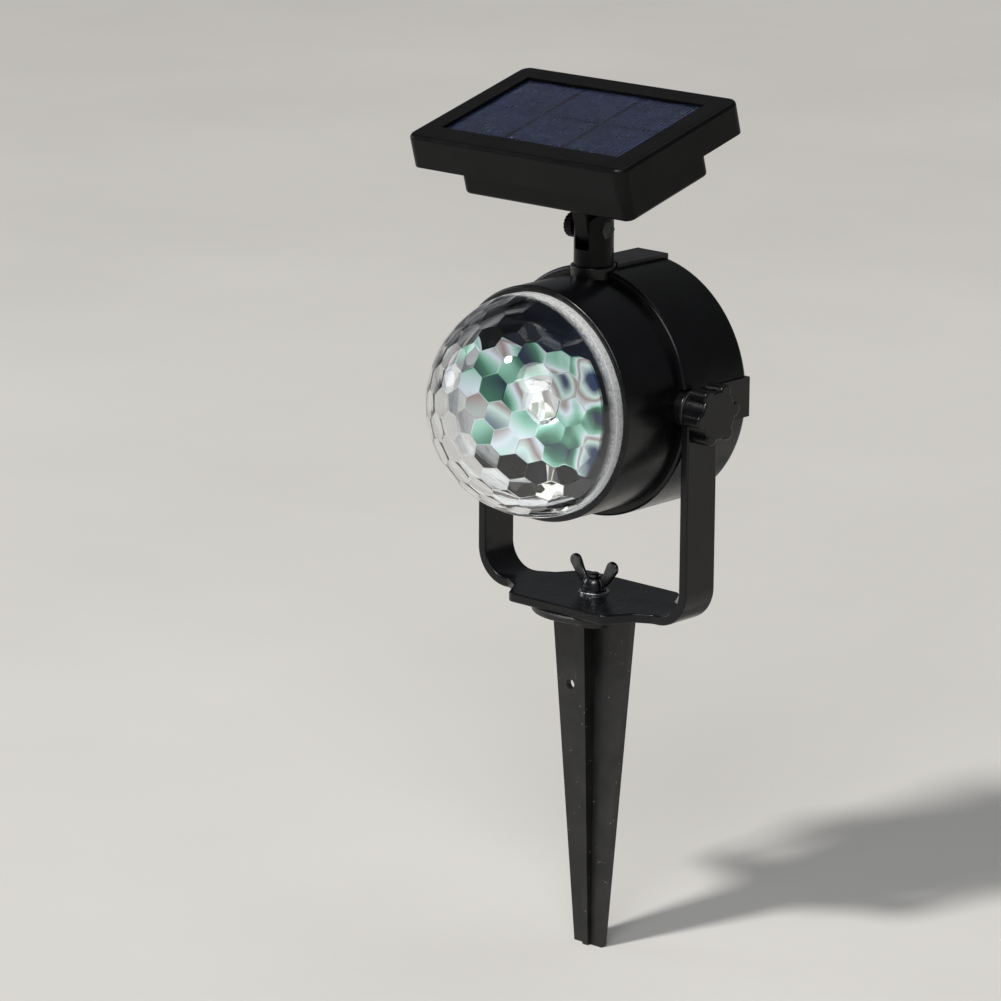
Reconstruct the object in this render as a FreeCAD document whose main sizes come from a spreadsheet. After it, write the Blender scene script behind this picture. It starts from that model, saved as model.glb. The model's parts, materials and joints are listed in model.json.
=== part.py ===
import FreeCAD, Part
import Sketcher
import math
import os

# Solar light projector on a ground stake: a lamp head with a turning faceted dome tilts in a U bracket,
# the bracket turns on the stake, and a solar panel swivels and tilts on a post above the head.
#
# Frame: millimetres, +Z up. The origin is on the stake's axis at the underside of its round flange,
# where the flange stops on the ground. The lamp looks along -Y, and X is the tilt axis's direction.

V = FreeCAD.Vector
doc = FreeCAD.newDocument("LightProjectorStake")

# ---------------------------------------------------------------- driving dimensions
DIMENSIONS = {
    # ground stake
    "flange_radius": 26.0,
    "flange_thick": 3.0,
    "blade_thick": 3.0,
    "blade_top_half": 22.0,
    "blade_low_half": 7.4,
    "rib_top_half": 8.0,
    "rib_low_half": 3.2,
    "shoulder_depth": 150.0,
    "tip_depth": 170.0,
    "hub_radius": 8.0,
    "hub_depth": 6.5,
    "stake_hole_radius": 2.2,
    "stake_hole_x": 11.4,
    "stake_hole_depth": 35.0,
    # bolt, washer and wing nut
    "bolt_radius": 2.5,
    "bolt_head_flats": 8.0,
    "bolt_head_depth": 5.0,
    "bolt_head_thick": 3.5,
    "bolt_top": 15.5,
    "washer_radius": 6.3,
    "washer_thick": 1.0,
    "nut_base_radius": 5.4,
    "nut_top_radius": 4.0,
    "nut_hub_thick": 6.0,
    "wing_span_half": 13.0,
    "wing_rise": 14.0,
    "wing_thick": 2.0,
    "wing_tip_radius": 3.0,
    # bracket
    "pivot_height": 93.5,
    "strap_outer_half": 57.5,
    "strap_thick": 4.0,
    "strap_half_width": 9.0,
    "bend_outer_radius": 15.5,
    "plate_half_depth": 24.5,
    "plate_front_half": 26.0,
    "plate_side_half": 33.0,
    "plate_side_depth": 13.0,
    "plate_neck_half": 40.0,
    "bolt_hole_radius": 2.7,
    "pivot_hole_radius": 5.08,
    # lamp head, measured along Y from the pivot axis
    "barrel_radius": 48.8,
    "barrel_front": 34.0,
    "barrel_rear": 12.0,
    "spigot_radius": 49.1,
    "barrel_bore": 45.0,
    "gear_recess_radius": 47.3,
    "gear_recess_end": 26.5,
    "bezel_front": 36.2,
    "bezel_bore": 46.4,
    "bezel_rear": 30.3,
    "bezel_skirt_radius": 47.25,
    "shell_radius": 52.3,
    "shell_front": 4.0,
    "shell_rear": 34.9,
    "shell_bore": 49.2,
    "shell_wall": 2.5,
    "shell_edge_radius": 3.0,
    "rim_edge_radius": 1.6,
    "pad_half": 8.3,
    "top_pad_height": 53.3,
    "side_pad_reach": 53.1,
    "boss_radius": 8.5,
    "boss_reach": 52.7,
    "pivot_spigot_radius": 5.0,
    "insert_radius": 3.6,
    "insert_bore": 2.55,
    "screw_circle": 41.0,
    # post and its collar
    "post_y": -2.5,
    "collar_radius": 9.5,
    "collar_top": 53.1,
    "collar_bore": 5.7,
    "post_radius": 8.2,
    "post_spigot_radius": 5.6,
    "post_wire_radius": 2.6,
    "clevis_slot_half": 3.75,
    "clevis_slot_drop": 8.0,
    "hinge_height": 68.0,
    "hinge_hole_radius": 2.1,
    "hinge_screw_radius": 2.0,
    # dome and its drive
    "dome_radius": 46.5,
    "dome_centre_y": -34.4,
    "dome_wall": 3.0,
    "dome_skirt_radius": 45.9,
    "dome_band_radius": 46.1,
    "dome_band_front": 39.6,
    "dome_band_rear": 30.0,
    "dome_bore": 44.0,
    "gear_module": 1.2,
    "ring_teeth": 70.0,
    "pinion_teeth": 10.0,
    "gear_rear": 23.0,
    # light deck and its parts
    "deck_radius": 44.8,
    "deck_front": 20.5,
    "deck_thick": 2.0,
    "pod_radius": 25.0,
    "pod_front": 30.0,
    "reflector_radius": 38.0,
    "reflector_half_height": 23.0,
    # tilt knobs
    "knob_inner": 57.65,
    "knob_thick": 8.4,
    "knob_core_radius": 10.2,
    "knob_lobe_radius": 3.1,
    "knob_lobe_circle": 9.9,
    "knob_lobes": 6.0,
    "knob_lean": 25.0,
    "stud_radius": 2.5,
    # solar panel, measured in its own frame from the hinge axis
    "panel_tilt": 15.4,
    "panel_top": 49.8,
    "panel_side": 14.0,
    "panel_half_x": 58.0,
    "panel_half_y": 37.6,
    "panel_shift": -1.5,
    "panel_corner": 4.8,
    "panel_wall": 2.2,
    "ledge_wall": 5.1,
    "window_half_x": 47.7,
    "window_half_y": 26.9,
    "window_shift": 0.6,
    "box_bottom": 19.6,
    "box_half_x": 45.4,
    "box_half_y": 25.4,
    "box_corner": 4.0,
    "box_wall": 2.0,
    "tongue_half": 3.5,
    "tongue_radius": 7.5,
    "battery_radius": 9.0,
    "battery_half": 32.5,
    "battery_y": -7.0,
    "battery_z": 31.5,
    "button_x": 24.0,
    "button_y": 14.5,
    "button_radius": 3.5,
    "button_travel": 1.0,
}

sheet = doc.addObject("Spreadsheet::Sheet", "Dimensions")
for row, (alias, number) in enumerate(DIMENSIONS.items(), start=1):
    sheet.set(f"A{row}", alias)
    sheet.set(f"B{row}", str(number))
    sheet.setAlias(f"B{row}", alias)
doc.recompute()


class Size:
    """A length that carries both its number and the spreadsheet formula that it comes from."""

    def __init__(self, formula, number):
        self.formula = formula
        self.number = number

    def __add__(self, other):
        other = as_size(other)
        return Size(f"({self.formula} + {other.formula})", self.number + other.number)

    def __sub__(self, other):
        other = as_size(other)
        return Size(f"({self.formula} - {other.formula})", self.number - other.number)

    def __mul__(self, factor):
        factor = as_size(factor)
        return Size(f"({self.formula} * {factor.formula})", self.number * factor.number)

    def __neg__(self):
        return self * -1

    __radd__ = __add__
    __rmul__ = __mul__

    def __rsub__(self, other):
        return as_size(other) - self


def as_size(value):
    return value if isinstance(value, Size) else Size(f"({value})", float(value))


class Sheet:
    """Reads a dimension by its alias: D.flange_radius."""

    def __getattr__(self, alias):
        return Size(f"Dimensions.{alias}", float(sheet.get(alias)))


D = Sheet()
nodes = {}


def bind(thing, path, value):
    """Ties one property to the sheet."""
    thing.setExpression(path, as_size(value).formula)


def place(thing, base=(0, 0, 0), axis=None, angle=0):
    """Puts an object at a point tied to the sheet, turned about an axis."""
    if axis is not None:
        thing.Placement.Rotation = FreeCAD.Rotation(V(*axis), as_size(angle).number)
    for letter, value in zip("xyz", base):
        if isinstance(value, Size) or value != 0:
            bind(thing, f"Placement.Base.{letter}", value)


def keep(label, thing):
    """Names a finished sub-part, which becomes one node."""
    thing.Label = label
    nodes[label] = thing
    return thing


# ---------------------------------------------------------------- sketch outlines
def datum(sketch, kind, *reference, value):
    value = as_size(value)
    number = sketch.addConstraint(Sketcher.Constraint(kind, *reference, value.number))
    name = f"size{number}"
    sketch.renameConstraint(number, name)
    if value.formula != "(0)":
        sketch.setExpression(f"Constraints.{name}", value.formula)


def circle(radius, x=0, y=0):
    """A round outline about a centre."""

    def draw(sketch):
        x_size, y_size, r_size = as_size(x), as_size(y), as_size(radius)
        centre = V(x_size.number, y_size.number, 0)
        edge = sketch.addGeometry(Part.Circle(centre, V(0, 0, 1), r_size.number), False)
        datum(sketch, "Radius", edge, value=r_size)
        datum(sketch, "DistanceX", -1, 1, edge, 3, value=x_size)
        datum(sketch, "DistanceY", -1, 1, edge, 3, value=y_size)

    return draw


def polygon(points):
    """A closed outline of straight edges through the points."""

    def draw(sketch):
        corners = [(as_size(x), as_size(y)) for x, y in points]
        first = sketch.GeometryCount
        count = len(corners)
        for i, (x, y) in enumerate(corners):
            x_next, y_next = corners[(i + 1) % count]
            start = V(x.number, y.number, 0)
            end = V(x_next.number, y_next.number, 0)
            sketch.addGeometry(Part.LineSegment(start, end), False)
        for i in range(count):
            joined = Sketcher.Constraint("Coincident", first + i, 2, first + (i + 1) % count, 1)
            sketch.addConstraint(joined)
        for i, (x, y) in enumerate(corners):
            datum(sketch, "DistanceX", -1, 1, first + i, 1, value=x)
            datum(sketch, "DistanceY", -1, 1, first + i, 1, value=y)

    return draw


def rectangle(low_x, high_x, low_y, high_y):
    return polygon([(low_x, low_y), (high_x, low_y), (high_x, high_y), (low_x, high_y)])


def hexagon(across_flats, x=0, y=0):
    """A hexagonal outline for a nut or a bolt head."""
    corner = as_size(across_flats) * (1 / math.sqrt(3))
    turns = [math.radians(60 * i) for i in range(6)]
    return polygon([(x + corner * math.cos(a), y + corner * math.sin(a)) for a in turns])


# ---------------------------------------------------------------- bodies
class Piece:
    """A PartDesign body whose sketches lie on its own origin planes.

    In the XZ plane a sketch's x and y are X and Z; in the YZ plane they are Y and Z."""

    normals = {"XY": 1, "XZ": -1, "YZ": 1}

    def __init__(self, label, base=(0, 0, 0), axis=None, angle=0):
        self.body = doc.addObject("PartDesign::Body", label)
        place(self.body, base, axis, angle)
        keep(label, self.body)
        self.label = label
        self.steps = 0

    def name(self, kind):
        self.steps += 1
        return f"{self.label}_{kind}{self.steps}"

    def sketch(self, plane, offset, outlines):
        sketch = self.body.newObject("Sketcher::SketchObject", self.name("sketch"))
        roles = {feature.Role: feature for feature in self.body.Origin.OriginFeatures}
        sketch.AttachmentSupport = [(roles[f"{plane}_Plane"], "")]
        sketch.MapMode = "FlatFace"
        bind(sketch, "AttachmentOffset.Base.z", offset)
        for outline in outlines:
            outline(sketch)
        return sketch

    def settle(self, feature):
        """Recomputes, and stops at once if the feature failed."""
        doc.recompute()
        if "Invalid" in feature.State or "Error" in feature.State:
            raise ValueError(f"{feature.Name} failed: {feature.getStatusString()}")
        return feature

    def extrude(self, kind, plane, low, high, outlines):
        """Adds or cuts the outlines between two places along the plane's row axis."""
        low, high = as_size(low), as_size(high)
        forward = self.normals[plane] > 0
        sketch = self.sketch(plane, low if forward else -high, outlines)
        feature = self.body.newObject(f"PartDesign::{kind}", self.name(kind.lower()))
        feature.Profile = sketch
        feature.Type = 0
        bind(feature, "Length", high - low)
        feature.Reversed = kind == "Pocket"
        return self.settle(feature)

    def pad(self, plane, low, high, *outlines):
        return self.extrude("Pad", plane, low, high, outlines)

    def pocket(self, plane, low, high, *outlines):
        before = self.body.Shape.Volume
        feature = self.extrude("Pocket", plane, low, high, outlines)
        if not self.body.Shape.Volume < before - 1e-6:
            raise ValueError(f"{feature.Name} cuts nothing")
        return feature

    def turn(self, kind, plane, axis, points):
        sketch = self.sketch(plane, 0, [polygon(points)])
        feature = self.body.newObject(f"PartDesign::{kind}", self.name(kind.lower()))
        feature.Profile = sketch
        feature.ReferenceAxis = (sketch, [axis])
        feature.Angle = 360
        return self.settle(feature)

    def revolve_y(self, points):
        """Turns a profile of (y, radius) points about the Y axis."""
        return self.turn("Revolution", "YZ", "H_Axis", points)

    def revolve_x(self, points):
        """Turns a profile of (x, radius) points about the X axis."""
        return self.turn("Revolution", "XZ", "H_Axis", points)

    def revolve_z(self, points):
        """Turns a profile of (radius, z) points about the Z axis."""
        return self.turn("Revolution", "XZ", "V_Axis", points)

    def around(self, feature, axis, count):
        """Repeats a feature evenly about one of the body's own axes."""
        roles = {item.Role: item for item in self.body.Origin.OriginFeatures}
        pattern = self.body.newObject("PartDesign::PolarPattern", self.name("pattern"))
        pattern.Originals = [feature]
        pattern.Axis = (roles[f"{axis}_Axis"], [""])
        pattern.Angle = 360
        bind(pattern, "Occurrences", count)
        self.body.Tip = pattern
        return self.settle(pattern)

    def edges(self, wanted):
        shape = self.body.Tip.Shape
        return [f"Edge{i}" for i, edge in enumerate(shape.Edges, start=1) if wanted(edge)]

    def dress(self, kind, amount, wanted):
        """Rounds or bevels the edges that the test picks."""
        names = self.edges(wanted)
        if not names:
            raise ValueError(f"{self.label}: no edge to {kind.lower()}")
        feature = self.body.newObject(f"PartDesign::{kind}", self.name(kind.lower()))
        feature.Base = (self.body.getObject(self.tip_name()), names)
        bind(feature, "Radius" if kind == "Fillet" else "Size", amount)
        return self.settle(feature)

    def tip_name(self):
        solids = [item for item in self.body.Group if item.isDerivedFrom("PartDesign::Feature")]
        return solids[-2].Name

    def fillet(self, amount, wanted):
        return self.dress("Fillet", amount, wanted)

    def chamfer(self, amount, wanted):
        return self.dress("Chamfer", amount, wanted)


def along(edge, axis):
    """True for a straight edge parallel to an axis."""
    if not isinstance(edge.Curve, (Part.Line, Part.LineSegment)):
        return False
    direction = edge.tangentAt(edge.FirstParameter)
    return abs(abs(direction["XYZ".index(axis)]) - 1) < 1e-6


def ring(edge, axis, radius, place_along):
    """True for a circular edge of this radius at this place along an axis."""
    if not isinstance(edge.Curve, Part.Circle):
        return False
    centre = edge.Curve.Center["XYZ".index(axis)]
    near = abs(centre - as_size(place_along).number) < 1e-4
    return near and abs(edge.Curve.Radius - as_size(radius).number) < 1e-4


# ---------------------------------------------------------------- solids for groups and simple pieces
TURNS = {"Z": None, "X": ((0, 1, 0), 90), "Y": ((1, 0, 0), -90)}


def cylinder(name, axis, radius, low, high, x=0, y=0, z=0):
    """A round bar along an axis, from low to high on it; x, y and z give its other two places."""
    bar = doc.addObject("Part::Cylinder", name)
    bind(bar, "Radius", radius)
    bind(bar, "Height", as_size(high) - low)
    base = {"X": (low, y, z), "Y": (x, low, z), "Z": (x, y, low)}[axis]
    if TURNS[axis]:
        bar.Placement.Rotation = FreeCAD.Rotation(V(*TURNS[axis][0]), TURNS[axis][1])
    place(bar, base)
    return bar


def block(name, low_x, high_x, low_y, high_y, low_z, high_z):
    """A box between two corners."""
    box = doc.addObject("Part::Box", name)
    bind(box, "Length", as_size(high_x) - low_x)
    bind(box, "Width", as_size(high_y) - low_y)
    bind(box, "Height", as_size(high_z) - low_z)
    place(box, (low_x, low_y, low_z))
    return box


def fuse(name, parts):
    joined = doc.addObject("Part::MultiFuse", name)
    joined.Shapes = parts
    return joined


def cut(name, base, tool):
    rest = doc.addObject("Part::Cut", name)
    rest.Base = base
    rest.Tool = tool
    return rest


def group(name, parts):
    together = doc.addObject("Part::Compound", name)
    together.Links = parts
    return together


def cross_head_screw(name, axis, under_head, tip, x=0, y=0, z=0, shank=1.1, head=2.4, thick=1.5):
    """A screw whose head sits at under_head, with a cross recess and its shank reaching to tip."""
    way = 1 if as_size(tip).number < as_size(under_head).number else -1
    top = as_size(under_head) + thick * way
    low, high = (tip, under_head) if way > 0 else (under_head, tip)
    head_low, head_high = (under_head, top) if way > 0 else (top, under_head)
    solid = fuse(f"{name}_solid", [
        cylinder(f"{name}_shank", axis, shank, low, high, x, y, z),
        cylinder(f"{name}_head", axis, head, head_low, head_high, x, y, z),
    ])
    bottom = top - 0.7 * way
    recess_low, recess_high = (bottom, top) if way > 0 else (top, bottom)
    arms = []
    for number, (long, short) in enumerate(((0.65 * head, 0.3), (0.3, 0.65 * head))):
        spans = {
            "X": ((recess_low, recess_high), (y - long, y + long), (z - short, z + short)),
            "Y": ((x - long, x + long), (recess_low, recess_high), (z - short, z + short)),
            "Z": ((x - long, x + long), (y - short, y + short), (recess_low, recess_high)),
        }[axis]
        arms.append(block(f"{name}_arm{number}", *spans[0], *spans[1], *spans[2]))
    return cut(name, solid, fuse(f"{name}_cross", arms))


def on_circle(radius, degrees):
    """The two coordinates of a point on a circle."""
    turn = math.radians(degrees)
    return radius * math.cos(turn), radius * math.sin(turn)


# Places that several pieces share. HEAD is the tilt axis's middle and HINGE is the panel's hinge.
HEAD = (0, 0, D.pivot_height)
HINGE = (0, D.post_y, D.pivot_height + D.hinge_height)
MOTOR_DROP = D.gear_module * 0.5 * (D.ring_teeth - D.pinion_teeth)
HOUSING_SCREW_ANGLES = (45, 135, 225, 315)
DECK_SCREW_ANGLES = (0, 120, 240)
LENS_LEG_ANGLES = (30, 150, 270)
LED_SPOTS = ((0, 0), (6.5, 90), (6.5, 210), (6.5, 330))
SEAL_GROOVE = (9.3, 11.3)
KNOB_THREAD = 5.5
FACET_FREQUENCY = 5
FLATTEST_FACET = -0.17
DRIVER_BOARD_REAR = 19.6
DRIVER_BOARD_THICK = 1.6
DRIVER_BOARD_CORNERS = [(x, z) for x in (-22, 22) for z in (-13, 13)]
CLIP_SPAN = (42.5, 43.6)
PANEL_SCREW_SPOTS = [(x, y) for x in (-49.4, 49.4) for y in (-29.8, 29.8)]
CHARGE_BOARD_LOW = 25.0
CHARGE_BOARD_Y = 15.5
CHARGE_BOARD_HALF_X, CHARGE_BOARD_HALF_Y = 38, 7


# ---------------------------------------------------------------- ground stake
def make_ground_spike():
    spike = Piece("ground_spike")
    spike.pad("XY", 0, D.flange_thick, circle(D.flange_radius))
    for plane, top, low in (("XZ", D.blade_top_half, D.blade_low_half),
                            ("YZ", D.rib_top_half, D.rib_low_half)):
        outline = [
            (-top, 0.5),
            (top, 0.5),
            (low, -D.shoulder_depth),
            (0.4, -D.tip_depth),
            (-0.4, -D.tip_depth),
            (-low, -D.shoulder_depth),
        ]
        half = D.blade_thick * 0.5
        spike.pad(plane, -half, half, polygon(outline))
    spike.pad("XY", -D.hub_depth, 0.5, circle(D.hub_radius))
    spike.pocket("XZ", -D.blade_thick, D.blade_thick,
                 circle(D.stake_hole_radius, -D.stake_hole_x, -D.stake_hole_depth))
    head_top = D.bolt_head_thick - D.bolt_head_depth
    spike.pocket("XY", -D.bolt_head_depth, head_top, hexagon(D.bolt_head_flats))
    spike.pocket("XY", head_top, D.flange_thick, circle(D.bolt_radius))
    spike.fillet(0.8, lambda edge: ring(edge, "Z", D.flange_radius, D.flange_thick)
                 or ring(edge, "Z", D.flange_radius, 0))


def make_mounting_bolt():
    bolt = Piece("mounting_bolt")
    head_top = D.bolt_head_thick - D.bolt_head_depth
    bolt.pad("XY", -D.bolt_head_depth, head_top, hexagon(D.bolt_head_flats))
    bolt.pad("XY", head_top, D.bolt_top, circle(D.bolt_radius))
    bolt.chamfer(0.6, lambda edge: ring(edge, "Z", D.bolt_radius, D.bolt_top))


def make_flat_washer():
    plate_top = D.flange_thick + D.strap_thick
    washer = Piece("flat_washer", (0, 0, plate_top))
    washer.pad("XY", 0.05, D.washer_thick, circle(D.washer_radius), circle(D.bolt_hole_radius))
    washer.fillet(0.25, lambda edge: ring(edge, "Z", D.washer_radius, D.washer_thick))


def make_wing_nut():
    """A tapered hub with two upswept rounded wings."""
    nut = Piece("wing_nut", (0, 0, D.flange_thick + D.strap_thick + D.washer_thick))
    bore = D.bolt_radius + 0.08
    nut.revolve_z([
        (bore, 0.05),
        (D.nut_base_radius, 0.05),
        (D.nut_base_radius, 1.2),
        (D.nut_top_radius, D.nut_hub_thick),
        (bore, D.nut_hub_thick),
    ])
    half = D.wing_thick * 0.5
    root = D.bolt_radius + 0.9
    tip_z = D.wing_rise - D.wing_tip_radius
    tip_x = D.wing_span_half - D.wing_tip_radius
    for side in (1, -1):
        nut.pad("XZ", -half, half, polygon([
            (side * root, 1.0),
            (side * (D.nut_base_radius + 0.8), 1.6),
            (side * (tip_x + 2.4), tip_z - 1.8),
            (side * (tip_x - 2.4), tip_z + 1.8),
            (side * root, D.nut_hub_thick - 0.4),
        ]))
        nut.pad("XZ", -half, half, circle(D.wing_tip_radius, side * tip_x, tip_z))


# ---------------------------------------------------------------- bracket
def make_u_bracket():
    bracket = Piece("u_bracket")
    outer, inner = D.strap_outer_half, D.strap_outer_half - D.strap_thick
    low, high = D.flange_thick, D.flange_thick + D.strap_thick
    half = D.strap_half_width
    bracket.pad("XZ", -half, half, polygon([
        (-outer, low), (outer, low), (outer, D.pivot_height), (inner, D.pivot_height),
        (inner, high), (-inner, high), (-inner, D.pivot_height), (-outer, D.pivot_height),
    ]))

    def corner(half_width, height):
        def test(edge):
            spot = edge.CenterOfMass
            return (along(edge, "Y") and abs(abs(spot.x) - half_width.number) < 1e-4
                    and abs(spot.z - height.number) < 1e-4)
        return test

    bracket.fillet(D.bend_outer_radius - D.strap_thick, corner(inner, high))
    bracket.fillet(D.bend_outer_radius, corner(outer, low))
    for near, far in ((inner, outer), (-outer, -inner)):
        bracket.pad("YZ", near, far, circle(half, 0, D.pivot_height))
    front, depth = D.plate_front_half, D.plate_half_depth
    wide, side_depth, neck = D.plate_side_half, D.plate_side_depth, D.plate_neck_half
    quarter = [(front, -depth), (wide, -side_depth), (neck, -half)]
    outline = quarter + [(x, -y) for x, y in reversed(quarter)]
    outline += [(-x, -y) for x, y in quarter] + [(-x, y) for x, y in reversed(quarter)]
    bracket.pad("XY", low, high, polygon(outline))

    def plate_corner(edge):
        spot = edge.CenterOfMass
        upright = along(edge, "Z") and abs(spot.z - (low + high).number / 2) < 1e-3
        return upright and abs(spot.x) < neck.number + 1

    bracket.fillet(4.0, plate_corner)
    bracket.pocket("XY", low, high, circle(D.bolt_hole_radius))
    bracket.pocket("YZ", -outer, outer, circle(D.pivot_hole_radius, 0, D.pivot_height))

    def outer_rim(edge):
        """Every edge of the strap's and the plate's broad faces, but not the holes."""
        if isinstance(edge.Curve, Part.Circle) and edge.Curve.Radius < D.pivot_hole_radius.number + 1:
            return False
        return edge.Length > 0.1

    bracket.fillet(0.7, outer_rim)


# ---------------------------------------------------------------- lamp head: housing
def make_front_barrel():
    """The front half of the housing: a tube with the post's collar on top and a pivot boss each side."""
    barrel = Piece("front_barrel", HEAD)
    groove_low, groove_high = SEAL_GROOVE
    barrel.revolve_y([
        (-D.barrel_front, D.gear_recess_radius),
        (-D.barrel_front, D.barrel_radius),
        (-D.shell_front, D.barrel_radius),
        (-D.shell_front, D.spigot_radius),
        (groove_low, D.spigot_radius),
        (groove_low, D.spigot_radius - 1.2),
        (groove_high, D.spigot_radius - 1.2),
        (groove_high, D.spigot_radius),
        (D.barrel_rear, D.spigot_radius),
        (D.barrel_rear, D.barrel_bore),
        (-D.gear_recess_end, D.barrel_bore),
        (-D.gear_recess_end, D.gear_recess_radius),
    ])
    inner_face = D.barrel_bore - 1.2
    barrel.pad("XY", 46, D.collar_top, circle(D.collar_radius, 0, D.post_y))
    barrel.pad("XY", inner_face, 46.5, circle(D.collar_radius - 1.2, 0, D.post_y))
    barrel.pocket("XY", inner_face, D.collar_top, circle(D.collar_bore, 0, D.post_y))
    for side in (1, -1):
        low, high = (46, D.boss_reach) if side > 0 else (-D.boss_reach, -46)
        barrel.pad("YZ", low, high, circle(D.boss_radius))
        tip = D.strap_outer_half - 0.1
        low, high = (46, tip) if side > 0 else (-tip, -46)
        barrel.pad("YZ", low, high, circle(D.pivot_spigot_radius))
    barrel.pocket("YZ", -D.strap_outer_half, D.strap_outer_half, circle(D.insert_radius))
    for angle in HOUSING_SCREW_ANGLES:
        x, z = on_circle(D.screw_circle, angle)
        barrel.pad("XZ", -4, D.barrel_rear, circle(3.8, x, z))
        x, z = on_circle(D.barrel_bore - 0.5, angle)
        barrel.pad("XZ", -4, D.barrel_rear, circle(2.2, x, z))
    for angle in HOUSING_SCREW_ANGLES:
        x, z = on_circle(D.screw_circle, angle)
        barrel.pocket("XZ", -2, D.barrel_rear, circle(1.3, x, z))
    deck_rear = D.deck_thick - D.deck_front
    for angle in DECK_SCREW_ANGLES:
        x, z = on_circle(D.screw_circle, angle)
        barrel.pad("XZ", deck_rear, deck_rear + 8, circle(3.5, x, z))
        x, z = on_circle(D.barrel_bore - 0.5, angle)
        barrel.pad("XZ", deck_rear, deck_rear + 8, circle(2.2, x, z))
    for angle in DECK_SCREW_ANGLES:
        x, z = on_circle(D.screw_circle, angle)
        barrel.pocket("XZ", deck_rear, deck_rear + 6.5, circle(1.1, x, z))
    barrel.fillet(0.6, lambda edge: ring(edge, "Z", D.collar_radius, D.collar_top)
                  or ring(edge, "X", D.boss_radius, D.boss_reach)
                  or ring(edge, "X", D.boss_radius, -D.boss_reach))


def make_bezel_ring():
    """The black ring that keeps the dome's ring gear in the barrel."""
    bezel = Piece("bezel_ring", HEAD)
    bezel.revolve_y([
        (-D.bezel_front, D.bezel_bore),
        (-D.bezel_front, D.barrel_radius),
        (-D.barrel_front, D.barrel_radius),
        (-D.barrel_front, D.bezel_skirt_radius),
        (-D.bezel_rear, D.bezel_skirt_radius),
        (-D.bezel_rear, D.bezel_bore),
    ])
    bezel.fillet(1.2, lambda edge: ring(edge, "Y", D.barrel_radius, -D.bezel_front))


def make_rear_shell():
    """The rear cup of the housing, a step larger than the barrel, with flat pads on top and both sides."""
    shell = Piece("rear_shell", HEAD)
    wall_inner = D.shell_rear - D.shell_wall
    shell.revolve_y([
        (-D.shell_front, D.shell_bore),
        (-D.shell_front, D.shell_radius),
        (D.shell_rear, D.shell_radius),
        (D.shell_rear, 0),
        (wall_inner, 0),
        (wall_inner, D.shell_radius - D.shell_wall),
        (D.barrel_rear + 1, D.shell_radius - D.shell_wall),
        (D.barrel_rear + 1, D.shell_bore),
    ])
    rear = D.shell_rear
    shell.fillet(D.shell_edge_radius, lambda edge: ring(edge, "Y", D.shell_radius, rear))
    shell.fillet(D.rim_edge_radius, lambda edge: ring(edge, "Y", D.shell_radius, -D.shell_front))
    pad_start = D.boss_radius + 0.4
    pad_rear = rear - 0.4
    shell.pad("XZ", 2, pad_rear, rectangle(-D.pad_half, D.pad_half, 50.5, D.top_pad_height))
    for side in (1, -1):
        near, far = (50.5, D.side_pad_reach) if side > 0 else (-D.side_pad_reach, -50.5)
        shell.pad("XZ", pad_start - 4, pad_rear, rectangle(near, far, -D.pad_half, D.pad_half))
    gap = 0.35
    notch = D.collar_radius + gap
    shell.pocket("XY", 44, 60, rectangle(-notch, notch, -D.shell_front - 1, D.post_y + 1))
    shell.pocket("XY", 44, 60, circle(notch, 0, D.post_y))
    notch = D.boss_radius + gap
    for side in (1, -1):
        low, high = (44, 60) if side > 0 else (-60, -44)
        shell.pocket("YZ", low, high, circle(notch))
        shell.pocket("YZ", low, high, rectangle(-D.shell_front - 1, 1, -notch, notch))
    for angle in HOUSING_SCREW_ANGLES:
        x, z = on_circle(D.screw_circle, angle)
        shell.pad("XZ", D.barrel_rear + 0.1, wall_inner + 0.5, circle(3.8, x, z))
    for angle in HOUSING_SCREW_ANGLES:
        x, z = on_circle(D.screw_circle, angle)
        shell.pocket("XZ", D.barrel_rear, rear, circle(1.7, x, z))
        shell.pocket("XZ", rear - 3, rear, circle(3.1, x, z))
    for x, z in DRIVER_BOARD_CORNERS:
        shell.pad("XZ", DRIVER_BOARD_REAR, wall_inner + 0.5, circle(2.6, x, z))
    for x, z in DRIVER_BOARD_CORNERS:
        shell.pocket("XZ", DRIVER_BOARD_REAR, DRIVER_BOARD_REAR + 8, circle(0.9, x, z))


def make_housing_seal():
    seal = doc.addObject("Part::Torus", "housing_seal")
    bind(seal, "Radius1", D.spigot_radius - 0.55)
    seal.Radius2 = 0.58
    seal.Placement.Rotation = FreeCAD.Rotation(V(1, 0, 0), 90)
    place(seal, (0, sum(SEAL_GROOVE) / 2, D.pivot_height))
    keep("housing_seal", seal)


def make_housing_screws():
    screws = []
    for number, angle in enumerate(HOUSING_SCREW_ANGLES, start=1):
        x, z = on_circle(D.screw_circle, angle)
        screws.append(cross_head_screw(f"housing_screw{number}", "Y", D.shell_rear - 3, 0, x, 0,
                                       z + D.pivot_height, shank=1.28, head=2.8, thick=1.8))
    keep("housing_screws", group("housing_screws", screws))


def make_pivot_inserts():
    inserts = []
    for number, side in enumerate((1, -1), start=1):
        low, high = (45.5, D.strap_outer_half - 0.1) if side > 0 else (0.1 - D.strap_outer_half, -45.5)
        outside = cylinder(f"insert{number}_outside", "X", D.insert_radius, low, high, z=D.pivot_height)
        thread = cylinder(f"insert{number}_thread", "X", D.insert_bore, low, high, z=D.pivot_height)
        inserts.append(cut(f"insert{number}", outside, thread))
    keep("pivot_inserts", group("pivot_inserts", inserts))


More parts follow.
